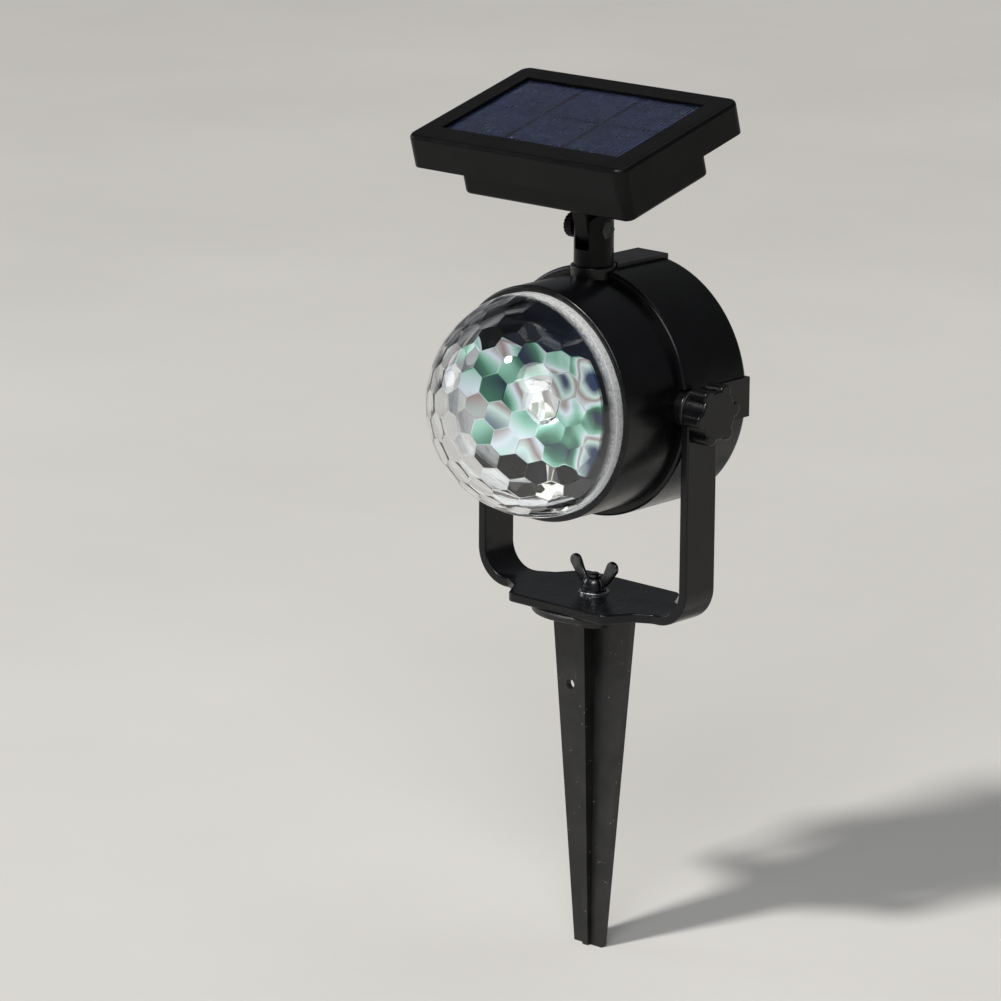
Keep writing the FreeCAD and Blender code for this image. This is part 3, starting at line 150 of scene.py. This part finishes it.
def moulded_plastic(name, dark, light, rough, grain, shine, dust_share=0.25):
    """Moulded plastic: cloudy tone, uneven gloss, fine grain, slow waviness and a little dust."""
    look = Look(name, Specular_IOR_Level=shine, IOR=1.5)
    clouds = look.noise(38, 5, 0.6)
    tone = look.ramp(clouds, (0.35, dark), (0.7, light))
    specks = look.ramp(look.noise(1900, 2, 0.5), (0.70, 0.0), (0.80, 1.0))
    patches = look.ramp(look.noise(26, 4, 0.65), (0.52, 0.0), (0.78, dust_share))
    look.link(look.mix(look.math("MULTIPLY", specks, patches), tone, DUST), "Base Color")
    look.link(look.ramp(look.noise(95, 4, 0.62), (0.3, rough[0]), (0.72, rough[1])), "Roughness")
    look.bump((look.noise(14, 2, 0.4), 0.0012, 0.12), (look.noise(grain, 3, 0.55), 0.00005, 0.35))
    return look.material


def worn_stake():
    """Recycled black plastic, a little chalky, with pale scuffs along it and specks of dry soil."""
    look = Look("stake_plastic", Specular_IOR_Level=0.42)
    tone = look.ramp(look.noise(55, 5, 0.62),
                     (0.32, (0.0062, 0.0062, 0.0066)), (0.72, (0.017, 0.0168, 0.0172)))
    along = look.stretched((900, 900, 120))
    scuffs = look.ramp(look.noise(1.0, 4, 0.66, along), (0.66, 0.0), (0.76, 1.0))
    where = look.ramp(look.noise(42, 3, 0.55), (0.46, 0.0), (0.62, 0.55))
    scuffed = look.mix(look.math("MULTIPLY", scuffs, where), tone, (0.13, 0.125, 0.115))
    grains = look.ramp(look.cells(620), (0.10, 1.0), (0.17, 0.0))
    rare = look.ramp(look.noise(210, 2, 0.5), (0.60, 0.0), (0.64, 0.85))
    look.link(look.mix(look.math("MULTIPLY", grains, rare), scuffed, (0.42, 0.39, 0.33)), "Base Color")
    look.link(look.ramp(look.noise(120, 4, 0.6), (0.3, 0.30), (0.7, 0.52)), "Roughness")
    look.bump((look.noise(60, 4, 0.6), 0.0006, 0.25), (look.noise(1500, 3, 0.6), 0.00007, 0.5))
    return look.material


def metal(name, dark, light, rough):
    """Metal with a mottled tone and a fine grain."""
    look = Look(name, Metallic=1.0)
    look.link(look.ramp(look.noise(160, 4, 0.6), (0.3, dark), (0.7, light)), "Base Color")
    grain = look.noise(500, 3, 0.6)
    look.link(look.ramp(grain, (0.3, rough[0]), (0.7, rough[1])), "Roughness")
    look.bump((look.noise(70, 3, 0.5), 0.0003, 0.2), (grain, 0.00003, 0.4))
    return look.material


ACRYLIC_INDEX = 1.49
# Lower than any real cover's: at a real index, glare hid the solar cells, which the photo shows clearly.
COVER_INDEX = 1.12
# The dome turns from clear to milky between these two places along Y.
DOME_RIM = (-42.5 * MM, -39.5 * MM)


def clear_plastic(name, tint, rough, frosted=None, index=ACRYLIC_INDEX):
    """Polished clear plastic with faint flow marks; lamp light passes through it to what is inside.

    Frosted gives the two places along Y between which it turns to a milky, sanded rim."""
    look = Look(name, Transmission_Weight=1.0, IOR=index)
    look.link(look.ramp(look.noise(24, 3, 0.5), (0.3, tint), (0.7, (1, 1, 1))), "Base Color")
    gloss = look.ramp(look.noise(60, 4, 0.6), (0.35, rough[0]), (0.75, rough[1]))
    if frosted:
        along = look.node("ShaderNodeSeparateXYZ", Vector=look.coordinates).outputs["Y"]
        spans = {"From Min": frosted[0], "From Max": frosted[1]}
        sanded = look.node("ShaderNodeMapRange", Value=along, **spans).outputs["Result"]
        milky = look.math("MULTIPLY", sanded, look.noise(900, 2, 0.5))
        look.link(look.ramp(milky, (0.0, 1.0), (0.5, 0.66)), "Transmission Weight")
        gloss = look.mix(sanded, gloss, (0.22, 0.22, 0.22))
    look.link(gloss, "Roughness")
    look.bump((look.noise(34, 2, 0.5), 0.0004, 0.08))
    nodes, links = look.tree.nodes, look.tree.links
    path = nodes.new("ShaderNodeLightPath").outputs["Is Shadow Ray"]
    open_way = nodes.new("ShaderNodeBsdfTransparent")
    open_way.inputs["Color"].default_value = (0.93, 0.95, 0.96, 1)
    both = nodes.new("ShaderNodeMixShader")
    links.new(path, both.inputs[0])
    links.new(look.shader.outputs[0], both.inputs[1])
    links.new(open_way.outputs[0], both.inputs[2])
    links.new(both.outputs[0], nodes["Material Output"].inputs["Surface"])
    return look.material


def solar_cells():
    """Dark blue silicon with fine light finger lines across each strip and thin cut lines between cells."""
    look = Look("solar_cell", Specular_IOR_Level=0.10)
    silicon = look.ramp(look.noise(90, 4, 0.6),
                        (0.3, (0.0010, 0.0018, 0.0075)), (0.75, (0.0022, 0.0040, 0.0150)))
    fingers = look.ramp(look.stripes(152.0), (0.93, 0.0), (0.99, 0.7))
    lined = look.mix(fingers, silicon, (0.075, 0.095, 0.16))
    joints = look.ramp(look.stripes(9.93), (0.992, 0.0), (0.998, 1.0))
    look.link(look.mix(joints, lined, (0.001, 0.001, 0.0015)), "Base Color")
    look.link(look.ramp(look.noise(300, 3, 0.6), (0.3, 0.22), (0.7, 0.36)), "Roughness")
    look.bump((look.noise(60, 3, 0.5), 0.0003, 0.1))
    return look.material


def circuit_board(name, dark, light, trace):
    """Lacquered board with copper tracks under the mask and tinned pads."""
    look = Look(name, Coat_Weight=0.4, Coat_Roughness=0.15)
    base = look.ramp(look.noise(140, 3, 0.5), (0.3, dark), (0.7, light))
    tracks = look.ramp(look.cells(160, "DISTANCE_TO_EDGE"), (0.02, 1.0), (0.05, 0.0))
    tracked = look.mix(look.math("MULTIPLY", tracks, 0.7), base, trace)
    pads = look.ramp(look.cells(330), (0.13, 1.0), (0.17, 0.0))
    look.link(look.mix(look.math("MULTIPLY", pads, 0.6), tracked, (0.6, 0.6, 0.58)), "Base Color")
    look.link(look.ramp(look.noise(200, 3, 0.5), (0.3, 0.28), (0.7, 0.45)), "Roughness")
    look.bump((tracks, 0.00006, 0.6))
    return look.material


def painted_reflection_silver():
    """Silvered plastic whose colour drifts softly through navy, green, mint, silver and rose: painted
    reflections of sky, lawn and sunlight.
    """
    look = Look("silvered", Metallic=0.55)
    drift = look.noise(62, 1.4, 0.4)
    # These hues are painted reflections of sky, lawn and sunlight in the silver, not a coloured lacquer.
    painted_reflection_hue = look.ramp(drift, (0.34, (0.008, 0.016, 0.045)), (0.41, (0.045, 0.15, 0.095)),
                    (0.46, (0.22, 0.44, 0.35)), (0.51, (0.56, 0.62, 0.68)), (0.56, (0.26, 0.19, 0.18)),
                    (0.61, (0.48, 0.60, 0.58)), (0.70, (0.015, 0.028, 0.075)))
    look.link(painted_reflection_hue, "Base Color")
    look.link(look.ramp(look.noise(90, 3, 0.5), (0.3, 0.30), (0.7, 0.48)), "Roughness")
    look.bump((look.noise(70, 2, 0.4), 0.0010, 0.35))
    return look.material


def two_tone(name, dark, light, rough, grain=900, **sockets):
    """Plain stuff with tone, gloss and grain that vary."""
    look = Look(name, **sockets)
    look.link(look.ramp(look.noise(110, 4, 0.6), (0.3, dark), (0.7, light)), "Base Color")
    look.link(look.ramp(look.noise(170, 3, 0.55), (0.3, rough[0]), (0.7, rough[1])), "Roughness")
    look.bump((look.noise(grain, 3, 0.6), 0.00006, 0.4))
    return look.material


LOOKS = {
    "black_plastic": moulded_plastic("black_plastic", (0.0018, 0.0019, 0.0024), (0.0040, 0.0042, 0.0052),
                                     (0.20, 0.32), 1400, 0.30),
    "panel_plastic": moulded_plastic("panel_plastic", (0.0022, 0.0022, 0.0025), (0.0046, 0.0046, 0.0050),
                                     (0.26, 0.40), 1100, 0.13, dust_share=0.4),
    # The deck is black plastic; its navy tint is a painted reflection of the sky.
    "deck_plastic_painted_sky": moulded_plastic("deck_plastic_painted_sky", (0.0030, 0.0045, 0.0100), (0.0070, 0.0100, 0.0210),
                                    (0.25, 0.40), 1100, 0.13, dust_share=0.0),
    "stake_plastic": worn_stake(),
    "plated_steel": metal("plated_steel", (0.055, 0.055, 0.060), (0.13, 0.13, 0.135), (0.14, 0.30)),
    "black_steel": metal("black_steel", (0.03, 0.03, 0.032), (0.06, 0.06, 0.062), (0.3, 0.45)),
    "zinc_steel": metal("zinc_steel", (0.52, 0.53, 0.55), (0.68, 0.69, 0.71), (0.22, 0.38)),
    "brass": metal("brass", (0.62, 0.42, 0.16), (0.78, 0.56, 0.25), (0.2, 0.34)),
    "rubber": two_tone("rubber", (0.012, 0.012, 0.012), (0.03, 0.03, 0.03), (0.6, 0.8), 700),
    "clear_plastic": clear_plastic("clear_plastic", (0.955, 0.97, 0.985), (0.0, 0.02)),
    "lens_plastic": clear_plastic("lens_plastic", (0.97, 0.98, 0.98), (0.0, 0.03)),
    "cover_plastic": clear_plastic("cover_plastic", (0.95, 0.96, 0.98), (0.0, 0.02), index=COVER_INDEX),
    "dome_plastic": clear_plastic("dome_plastic", (0.955, 0.97, 0.985), (0.0, 0.02), DOME_RIM),
    "silvered": painted_reflection_silver(),
    "white_plastic": two_tone("white_plastic", (0.62, 0.61, 0.57), (0.74, 0.73, 0.69), (0.3, 0.45)),
    "circuit_board": circuit_board("circuit_board", (0.004, 0.035, 0.014), (0.008, 0.07, 0.026),
                                   (0.02, 0.12, 0.05)),
    "white_board": circuit_board("white_board", (0.58, 0.59, 0.60), (0.72, 0.73, 0.74), (0.5, 0.52, 0.5)),
    "led": two_tone("led", (0.42, 0.43, 0.36), (0.60, 0.61, 0.54), (0.15, 0.3)),
    "component": two_tone("component", (0.012, 0.012, 0.014), (0.03, 0.03, 0.034), (0.3, 0.5), 500),
    "solar_cell": solar_cells(),
    "battery_wrap": two_tone("battery_wrap", (0.01, 0.06, 0.16), (0.02, 0.10, 0.24), (0.25, 0.4)),
}

# The nodes that wear each look. Those named nowhere here are black plastic.
NODES_OF = {
    "stake_plastic": ["ground_spike"],
    "plated_steel": ["wing_nut", "mounting_bolt", "post_clip"],
    "zinc_steel": ["flat_washer", "right_stud", "left_stud", "motor_gearbox", "motor_can", "motor_shaft",
                   "motor_screws", "housing_screws", "deck_screws", "board_screws", "panel_screws",
                   "battery_tabs"],
    "brass": ["pivot_inserts"],
    "rubber": ["housing_seal", "panel_gasket", "friction_washers"],
    "clear_plastic": ["faceted_dome"],
    "cover_plastic": ["pv_cover"],
    "lens_plastic": ["led_lens"],
    "silvered": ["reflector"],
    "white_plastic": ["motor_pinion", "battery_cradle"],
    "circuit_board": ["driver_board", "charge_board"],
    "white_board": ["led_board"],
    "led": ["led_emitters"],
    "component": ["driver_components", "charge_switch"],
    "solar_cell": ["pv_cells"],
    "battery_wrap": ["battery_cell"],
    "panel_plastic": ["panel_frame", "battery_box", "panel_knob", "power_button", "post"],
    "black_steel": ["hinge_nut", "hinge_screw"],
    "deck_plastic_painted_sky": ["light_deck", "pv_board"],
}
LOOK_OF = {node: look for look, members in NODES_OF.items() for node in members}

for node, piece in NODES.items():
    piece.data.materials.clear()
    piece.data.materials.append(LOOKS[LOOK_OF.get(node, "black_plastic")])


# ---------------------------------------------------------------- shapes made here in place of CAD nodes
def link_object(name, data):
    """Puts a new object into the scene."""
    piece = bpy.data.objects.new(name, data)
    bpy.context.scene.collection.objects.link(piece)
    return piece


def stand_in(name, mesh, node, look):
    """Shows a mesh in place of a CAD node, riding on that node's body."""
    piece = link_object(name, mesh)
    mesh.materials.append(LOOKS[look])
    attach(piece, BODY_OF[node])
    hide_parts(node)


def mesh_of(bm, name, smooth_below=30):
    """Ends a bmesh: outward faces, and smooth shading except across edges sharper than the angle."""
    bmesh.ops.recalc_face_normals(bm, faces=bm.faces)
    for face in bm.faces:
        face.smooth = True
    limit = math.radians(smooth_below)
    for edge in bm.edges:
        if edge.is_manifold:
            edge.smooth = edge.calc_face_angle(0) < limit
    mesh = bpy.data.meshes.new(name)
    bm.to_mesh(mesh)
    bm.free()
    return mesh


def modified(mesh, *steps):
    """The mesh after these modifiers, each (kind, {setting: value})."""
    piece = link_object("working", mesh)
    for kind, settings in steps:
        modifier = piece.modifiers.new(kind, kind)
        for name, value in settings.items():
            setattr(modifier, name, value)
    graph = bpy.context.evaluated_depsgraph_get()
    made = bpy.data.meshes.new_from_object(piece.evaluated_get(graph))
    bpy.data.objects.remove(piece)
    return made


def tool_of(mesh):
    """An object for a boolean to read, removed once it is used."""
    return link_object("tool", mesh)


def remove(tools):
    for tool in tools:
        bpy.data.objects.remove(tool)


def facet_directions(frequency):
    """Directions over the front half of a sphere, by dividing an icosahedron's faces."""
    ratio = (1 + math.sqrt(5)) / 2
    longest_side = 2.001
    corners = [Vector(turned) for a in (1, -1) for b in (ratio, -ratio)
               for turned in ((0, a, b), (a, b, 0), (b, 0, a))]
    found = {}
    for first, second, third in itertools.combinations(corners, 3):
        if max((first - second).length, (second - third).length, (third - first).length) > longest_side:
            continue
        for a in range(frequency + 1):
            for b in range(frequency + 1 - a):
                point = (first * a + second * b + third * (frequency - a - b)).normalized()
                found[tuple(round(value, 3) for value in point)] = point
    turn = Vector((0, 1, ratio)).normalized().rotation_difference(Vector((0, -1, 0)))
    directions = [turn @ found[key] for key in sorted(found)]
    return [way for way in directions if way.y < FLATTEST_FACET]


def cut_by_planes(bm, planes):
    """Trims a closed convex mesh with planes, each (point, outward normal)."""
    for point, normal in planes:
        everything = bm.verts[:] + bm.edges[:] + bm.faces[:]
        done = bmesh.ops.bisect_plane(bm, geom=everything, dist=1e-7, plane_co=point, plane_no=normal,
                                      clear_outer=True)
        rim = [item for item in done["geom_cut"] if isinstance(item, bmesh.types.BMEdge)]
        if rim:
            bmesh.ops.edgenet_fill(bm, edges=rim)


def lathe(profile, steps):
    """A bmesh of (along Y, radius) points turned about the Y axis."""
    bm = bmesh.new()
    turns = [2 * math.pi * step / steps for step in range(steps)]
    rings = []
    for along, radius in profile:
        spots = [(radius * math.cos(turn), along, radius * math.sin(turn)) for turn in turns]
        rings.append([bm.verts.new(spot) for spot in (spots if radius else [(0, along, 0)])])
    for first, second in zip(rings, rings[1:] + rings[:1]):
        if len(first) == 1 and len(second) == 1:
            continue
        for step in range(steps):
            after = (step + 1) % steps
            corners = [first[step % len(first)], first[after % len(first)],
                       second[after % len(second)], second[step % len(second)]]
            bm.faces.new(list(dict.fromkeys(corners)))
    return bm


# The dome, measured from the middle of its ball.
DOME_RADIUS = 46.5 * MM
DOME_CENTRE_Y = -34.4 * MM
SKIRT_RADIUS = 45.9 * MM
BAND_RADIUS = 46.1 * MM
BAND_FRONT = -5.2 * MM
BAND_EDGE = 0.15 * MM
BORE_RADIUS = 44.0 * MM
BORE_FRONT = -0.5 * MM
INNER_REACH = 43.5 * MM
FACET_FREQUENCY = 5
FLATTEST_FACET = -0.17
FACET_BEVEL = 0.26 * MM
SMALLEST_FACET = 20 * MM * MM
DOME_STEPS = 256
ARC_STEPS = 56


def ball_of_facets():
    """Half a ball of flat facets, its flat side at the dome's centre plane."""
    bm = bmesh.new()
    bmesh.ops.create_cube(bm, size=0.2)
    planes = [(Vector((0, 0, 0)), Vector((0, 1, 0)))]
    planes += [(way * INNER_REACH, way) for way in facet_directions(FACET_FREQUENCY)]
    cut_by_planes(bm, planes)
    return bm


def turned(*profile):
    """A solid turned about the Y axis, for a boolean to read."""
    return tool_of(mesh_of(lathe(profile, DOME_STEPS), "turned"))


def rounded(along, radius, size, steps=5):
    """The corner from a front face out to a side, as points on a quarter circle."""
    turns = [math.pi / 2 * step / steps for step in range(steps, -1, -1)]
    return [(along + size * (1 - math.sin(turn)), radius - size * (1 - math.cos(turn))) for turn in turns]


def add_dome():
    """The clear dome: smooth outside, cut to flat facets with softened edges inside, with a rim band."""
    low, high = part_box("faceted_dome")
    hub = Vector((0, DOME_CENTRE_Y, (low.z + high.z) / 2))
    rear = high.y - hub.y
    widest = math.asin(SKIRT_RADIUS / DOME_RADIUS)
    profile = [(-DOME_RADIUS, 0)]
    for step in range(1, ARC_STEPS + 1):
        turn = widest * step / ARC_STEPS
        profile.append((-DOME_RADIUS * math.cos(turn), DOME_RADIUS * math.sin(turn)))
    profile += [(BAND_FRONT, SKIRT_RADIUS)] + rounded(BAND_FRONT, BAND_RADIUS, BAND_EDGE)
    outside = turned(*profile, (rear, BAND_RADIUS), (rear, 0))
    sleeve = turned((-0.06, 0), (-0.06, BORE_RADIUS), (0.01, BORE_RADIUS), (0.01, 0))
    bore = turned((BORE_FRONT, 0), (BORE_FRONT, BORE_RADIUS), (0.03, BORE_RADIUS), (0.03, 0))
    soften = {"width": FACET_BEVEL, "segments": 3, "limit_method": "ANGLE", "angle_limit": math.radians(6)}
    facets = modified(mesh_of(ball_of_facets(), "facets"), ("BEVEL", soften),
                      ("BOOLEAN", {"operation": "INTERSECT", "object": sleeve}))
    hollow = tool_of(facets)
    shell = modified(outside.data, ("BOOLEAN", {"operation": "DIFFERENCE", "object": hollow}),
                     ("BOOLEAN", {"operation": "DIFFERENCE", "object": bore}))
    remove((outside, sleeve, bore, hollow))
    bm = bmesh.new()
    bm.from_mesh(shell)
    bmesh.ops.remove_doubles(bm, verts=bm.verts, dist=2e-6)
    bmesh.ops.translate(bm, verts=bm.verts, vec=hub)
    mesh = mesh_of(bm, "dome_shell", 12)
    for face in mesh.polygons:
        if face.area > SMALLEST_FACET:
            face.use_smooth = False
    stand_in("dome_shell", mesh, "faceted_dome", "dome_plastic")


# The wing nut, in millimetres from the middle of its underside: the hub's (height, radius), then the wing's
# (reach, height) below and above its round tip.
HUB_PROFILE = [(0, 2.75), (0, 4.9), (0.12, 5.2), (0.45, 5.38), (1.0, 5.4), (1.5, 5.25), (2.1, 5.1), (3.0, 4.95),
               (4.0, 4.65), (4.9, 4.2), (5.5, 3.75), (5.9, 3.3), (6.0, 2.75)]
WING_BELOW = [(3.3, 1.2), (6.0, 1.9), (8.2, 4.0), (10.6, 7.0)]
WING_ABOVE = [(5.6, 8.4), (4.4, 6.6), (3.3, 5.4)]
WING_THICK = 2.0 * MM
WING_EDGE = 0.75 * MM
WING_TIP_RADIUS = 3.0 * MM
WING_TIP_STEPS = 12
CAST_VOXEL = 0.16 * MM


def add_wing_nut():
    """A cast wing nut: a rounded hub on a flange, with two upswept wings blended into it."""
    low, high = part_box("wing_nut")
    hub_x, hub_y = (low.x + high.x) / 2, (low.y + high.y) / 2
    reach, rise = high.x - hub_x, high.z - low.z
    bm = lathe([(along * MM, radius * MM) for along, radius in HUB_PROFILE], 96)
    bmesh.ops.rotate(bm, verts=bm.verts, matrix=Matrix.Rotation(math.radians(90), 3, "X"))
    hub = mesh_of(bm, "nut_hub")
    tip_x, tip_z = reach - WING_TIP_RADIUS, rise - WING_TIP_RADIUS
    outline = [(x * MM, z * MM) for x, z in WING_BELOW]
    for step in range(WING_TIP_STEPS + 1):
        turn = math.radians(-30 + 190 * step / WING_TIP_STEPS)
        outline.append((tip_x + WING_TIP_RADIUS * math.cos(turn), tip_z + WING_TIP_RADIUS * math.sin(turn)))
    outline += [(x * MM, z * MM) for x, z in WING_ABOVE]
    soften = {"width": WING_EDGE, "segments": 4, "limit_method": "ANGLE", "angle_limit": math.radians(60)}
    wings = []
    for side in (1, -1):
        bm = bmesh.new()
        face = bm.faces.new([bm.verts.new((side * x, -WING_THICK / 2, z)) for x, z in outline])
        grown = bmesh.ops.extrude_face_region(bm, geom=[face])
        moved = [item for item in grown["geom"] if isinstance(item, bmesh.types.BMVert)]
        bmesh.ops.translate(bm, verts=moved, vec=(0, WING_THICK, 0))
        wings.append(tool_of(modified(mesh_of(bm, "nut_wing"), ("BEVEL", soften))))
    cast = modified(hub, *[("BOOLEAN", {"operation": "UNION", "object": wing}) for wing in wings],
                    ("REMESH", {"mode": "VOXEL", "voxel_size": CAST_VOXEL}),
                    ("SMOOTH", {"factor": 0.5, "iterations": 7}))
    remove(wings)
    bm = bmesh.new()
    bm.from_mesh(cast)
    bmesh.ops.translate(bm, verts=bm.verts, vec=(hub_x, hub_y, low.z))
    stand_in("nut_casting", mesh_of(bm, "nut_casting", 60), "wing_nut", "plated_steel")


add_dome()
add_wing_nut()


# ---------------------------------------------------------------- camera, lights and floor
CAMERA_PLACE = (1.2381, -1.4061, 0.5351)
CAMERA_TURN, CAMERA_LIFT, CAMERA_ROLL = math.radians(42.56), math.radians(14.63), 0.005829


def add_camera():
    """A long lens to the front right of the lamp, looking slightly down."""
    turn, lift, roll = CAMERA_TURN, CAMERA_LIFT, CAMERA_ROLL
    back = Vector((math.sin(turn) * math.cos(lift), -math.cos(turn) * math.cos(lift), math.sin(lift)))
    level = Vector((math.cos(turn), math.sin(turn), 0))
    upward = back.cross(level)
    right = level * math.cos(roll) + upward * math.sin(roll)
    up = upward * math.cos(roll) - level * math.sin(roll)
    data = bpy.data.cameras.new("camera")
    data.sensor_width = 36
    data.lens = 168.4
    data.clip_start, data.clip_end = 0.05, 60
    camera = link_object("camera", data)
    rows = [(right[i], up[i], back[i], CAMERA_PLACE[i]) for i in range(3)]
    camera.matrix_world = Matrix((*rows, (0, 0, 0, 1)))
    bpy.context.scene.camera = camera


LIGHT_TARGET = Vector((0, 0, 0.1))


def add_light(name, place, size, power, colour=(1, 1, 1)):
    """A soft round light that faces the lamp."""
    data = bpy.data.lights.new(name, "AREA")
    data.shape = "DISK"
    data.size = size
    data.energy = power
    data.color = colour
    lamp = link_object(name, data)
    lamp.location = place
    lamp.rotation_mode = "QUATERNION"
    lamp.rotation_quaternion = (LIGHT_TARGET - Vector(place)).to_track_quat("-Z", "Y")


def add_sun(name, towards, width, strength, colour):
    """A far soft light that shines from a direction; width is its apparent size in degrees."""
    data = bpy.data.lights.new(name, "SUN")
    data.angle = math.radians(width)
    data.energy = strength
    data.color = colour
    lamp = link_object(name, data)
    lamp.rotation_mode = "QUATERNION"
    lamp.rotation_quaternion = (-Vector(towards)).to_track_quat("-Z", "Y")


def add_floor():
    """A plain pale floor."""
    mesh = bpy.data.meshes.new("floor")
    reach = 9.0
    mesh.from_pydata([(-reach, -reach, GROUND_Z), (reach, -reach, GROUND_Z),
                      (reach, reach, GROUND_Z), (-reach, reach, GROUND_Z)], [], [(0, 1, 2, 3)])
    floor = link_object("floor", mesh)
    look = Look("floor", Specular_IOR_Level=0.2)
    tone = look.ramp(look.noise(3, 3, 0.5), (0.3, (0.62, 0.61, 0.59)), (0.7, (0.66, 0.65, 0.63)))
    look.link(tone, "Base Color")
    look.link(look.ramp(look.noise(20, 3, 0.5), (0.3, 0.75), (0.7, 0.85)), "Roughness")
    mesh.materials.append(look.material)


def add_world():
    """A dim, even, slightly cool surround."""
    world = bpy.data.worlds.new("studio")
    world.use_nodes = True
    shade = world.node_tree.nodes["Background"]
    shade.inputs["Color"].default_value = (0.80, 0.82, 0.85, 1)
    shade.inputs["Strength"].default_value = 0.14
    bpy.context.scene.world = world
    bpy.context.scene.view_settings.view_transform = "Standard"


add_camera()
add_sun("key", (-0.10, -0.62, 0.78), 7, 2.6, (1.0, 0.975, 0.93))
add_light("left", (-1.9, -0.7, 0.7), 0.9, 7, (0.93, 0.96, 1.0))
add_light("above", (0.3, 0.5, 2.3), 1.5, 5)
add_light("front", (1.15, -1.75, 1.75), 1.5, 26)
add_floor()
add_world()
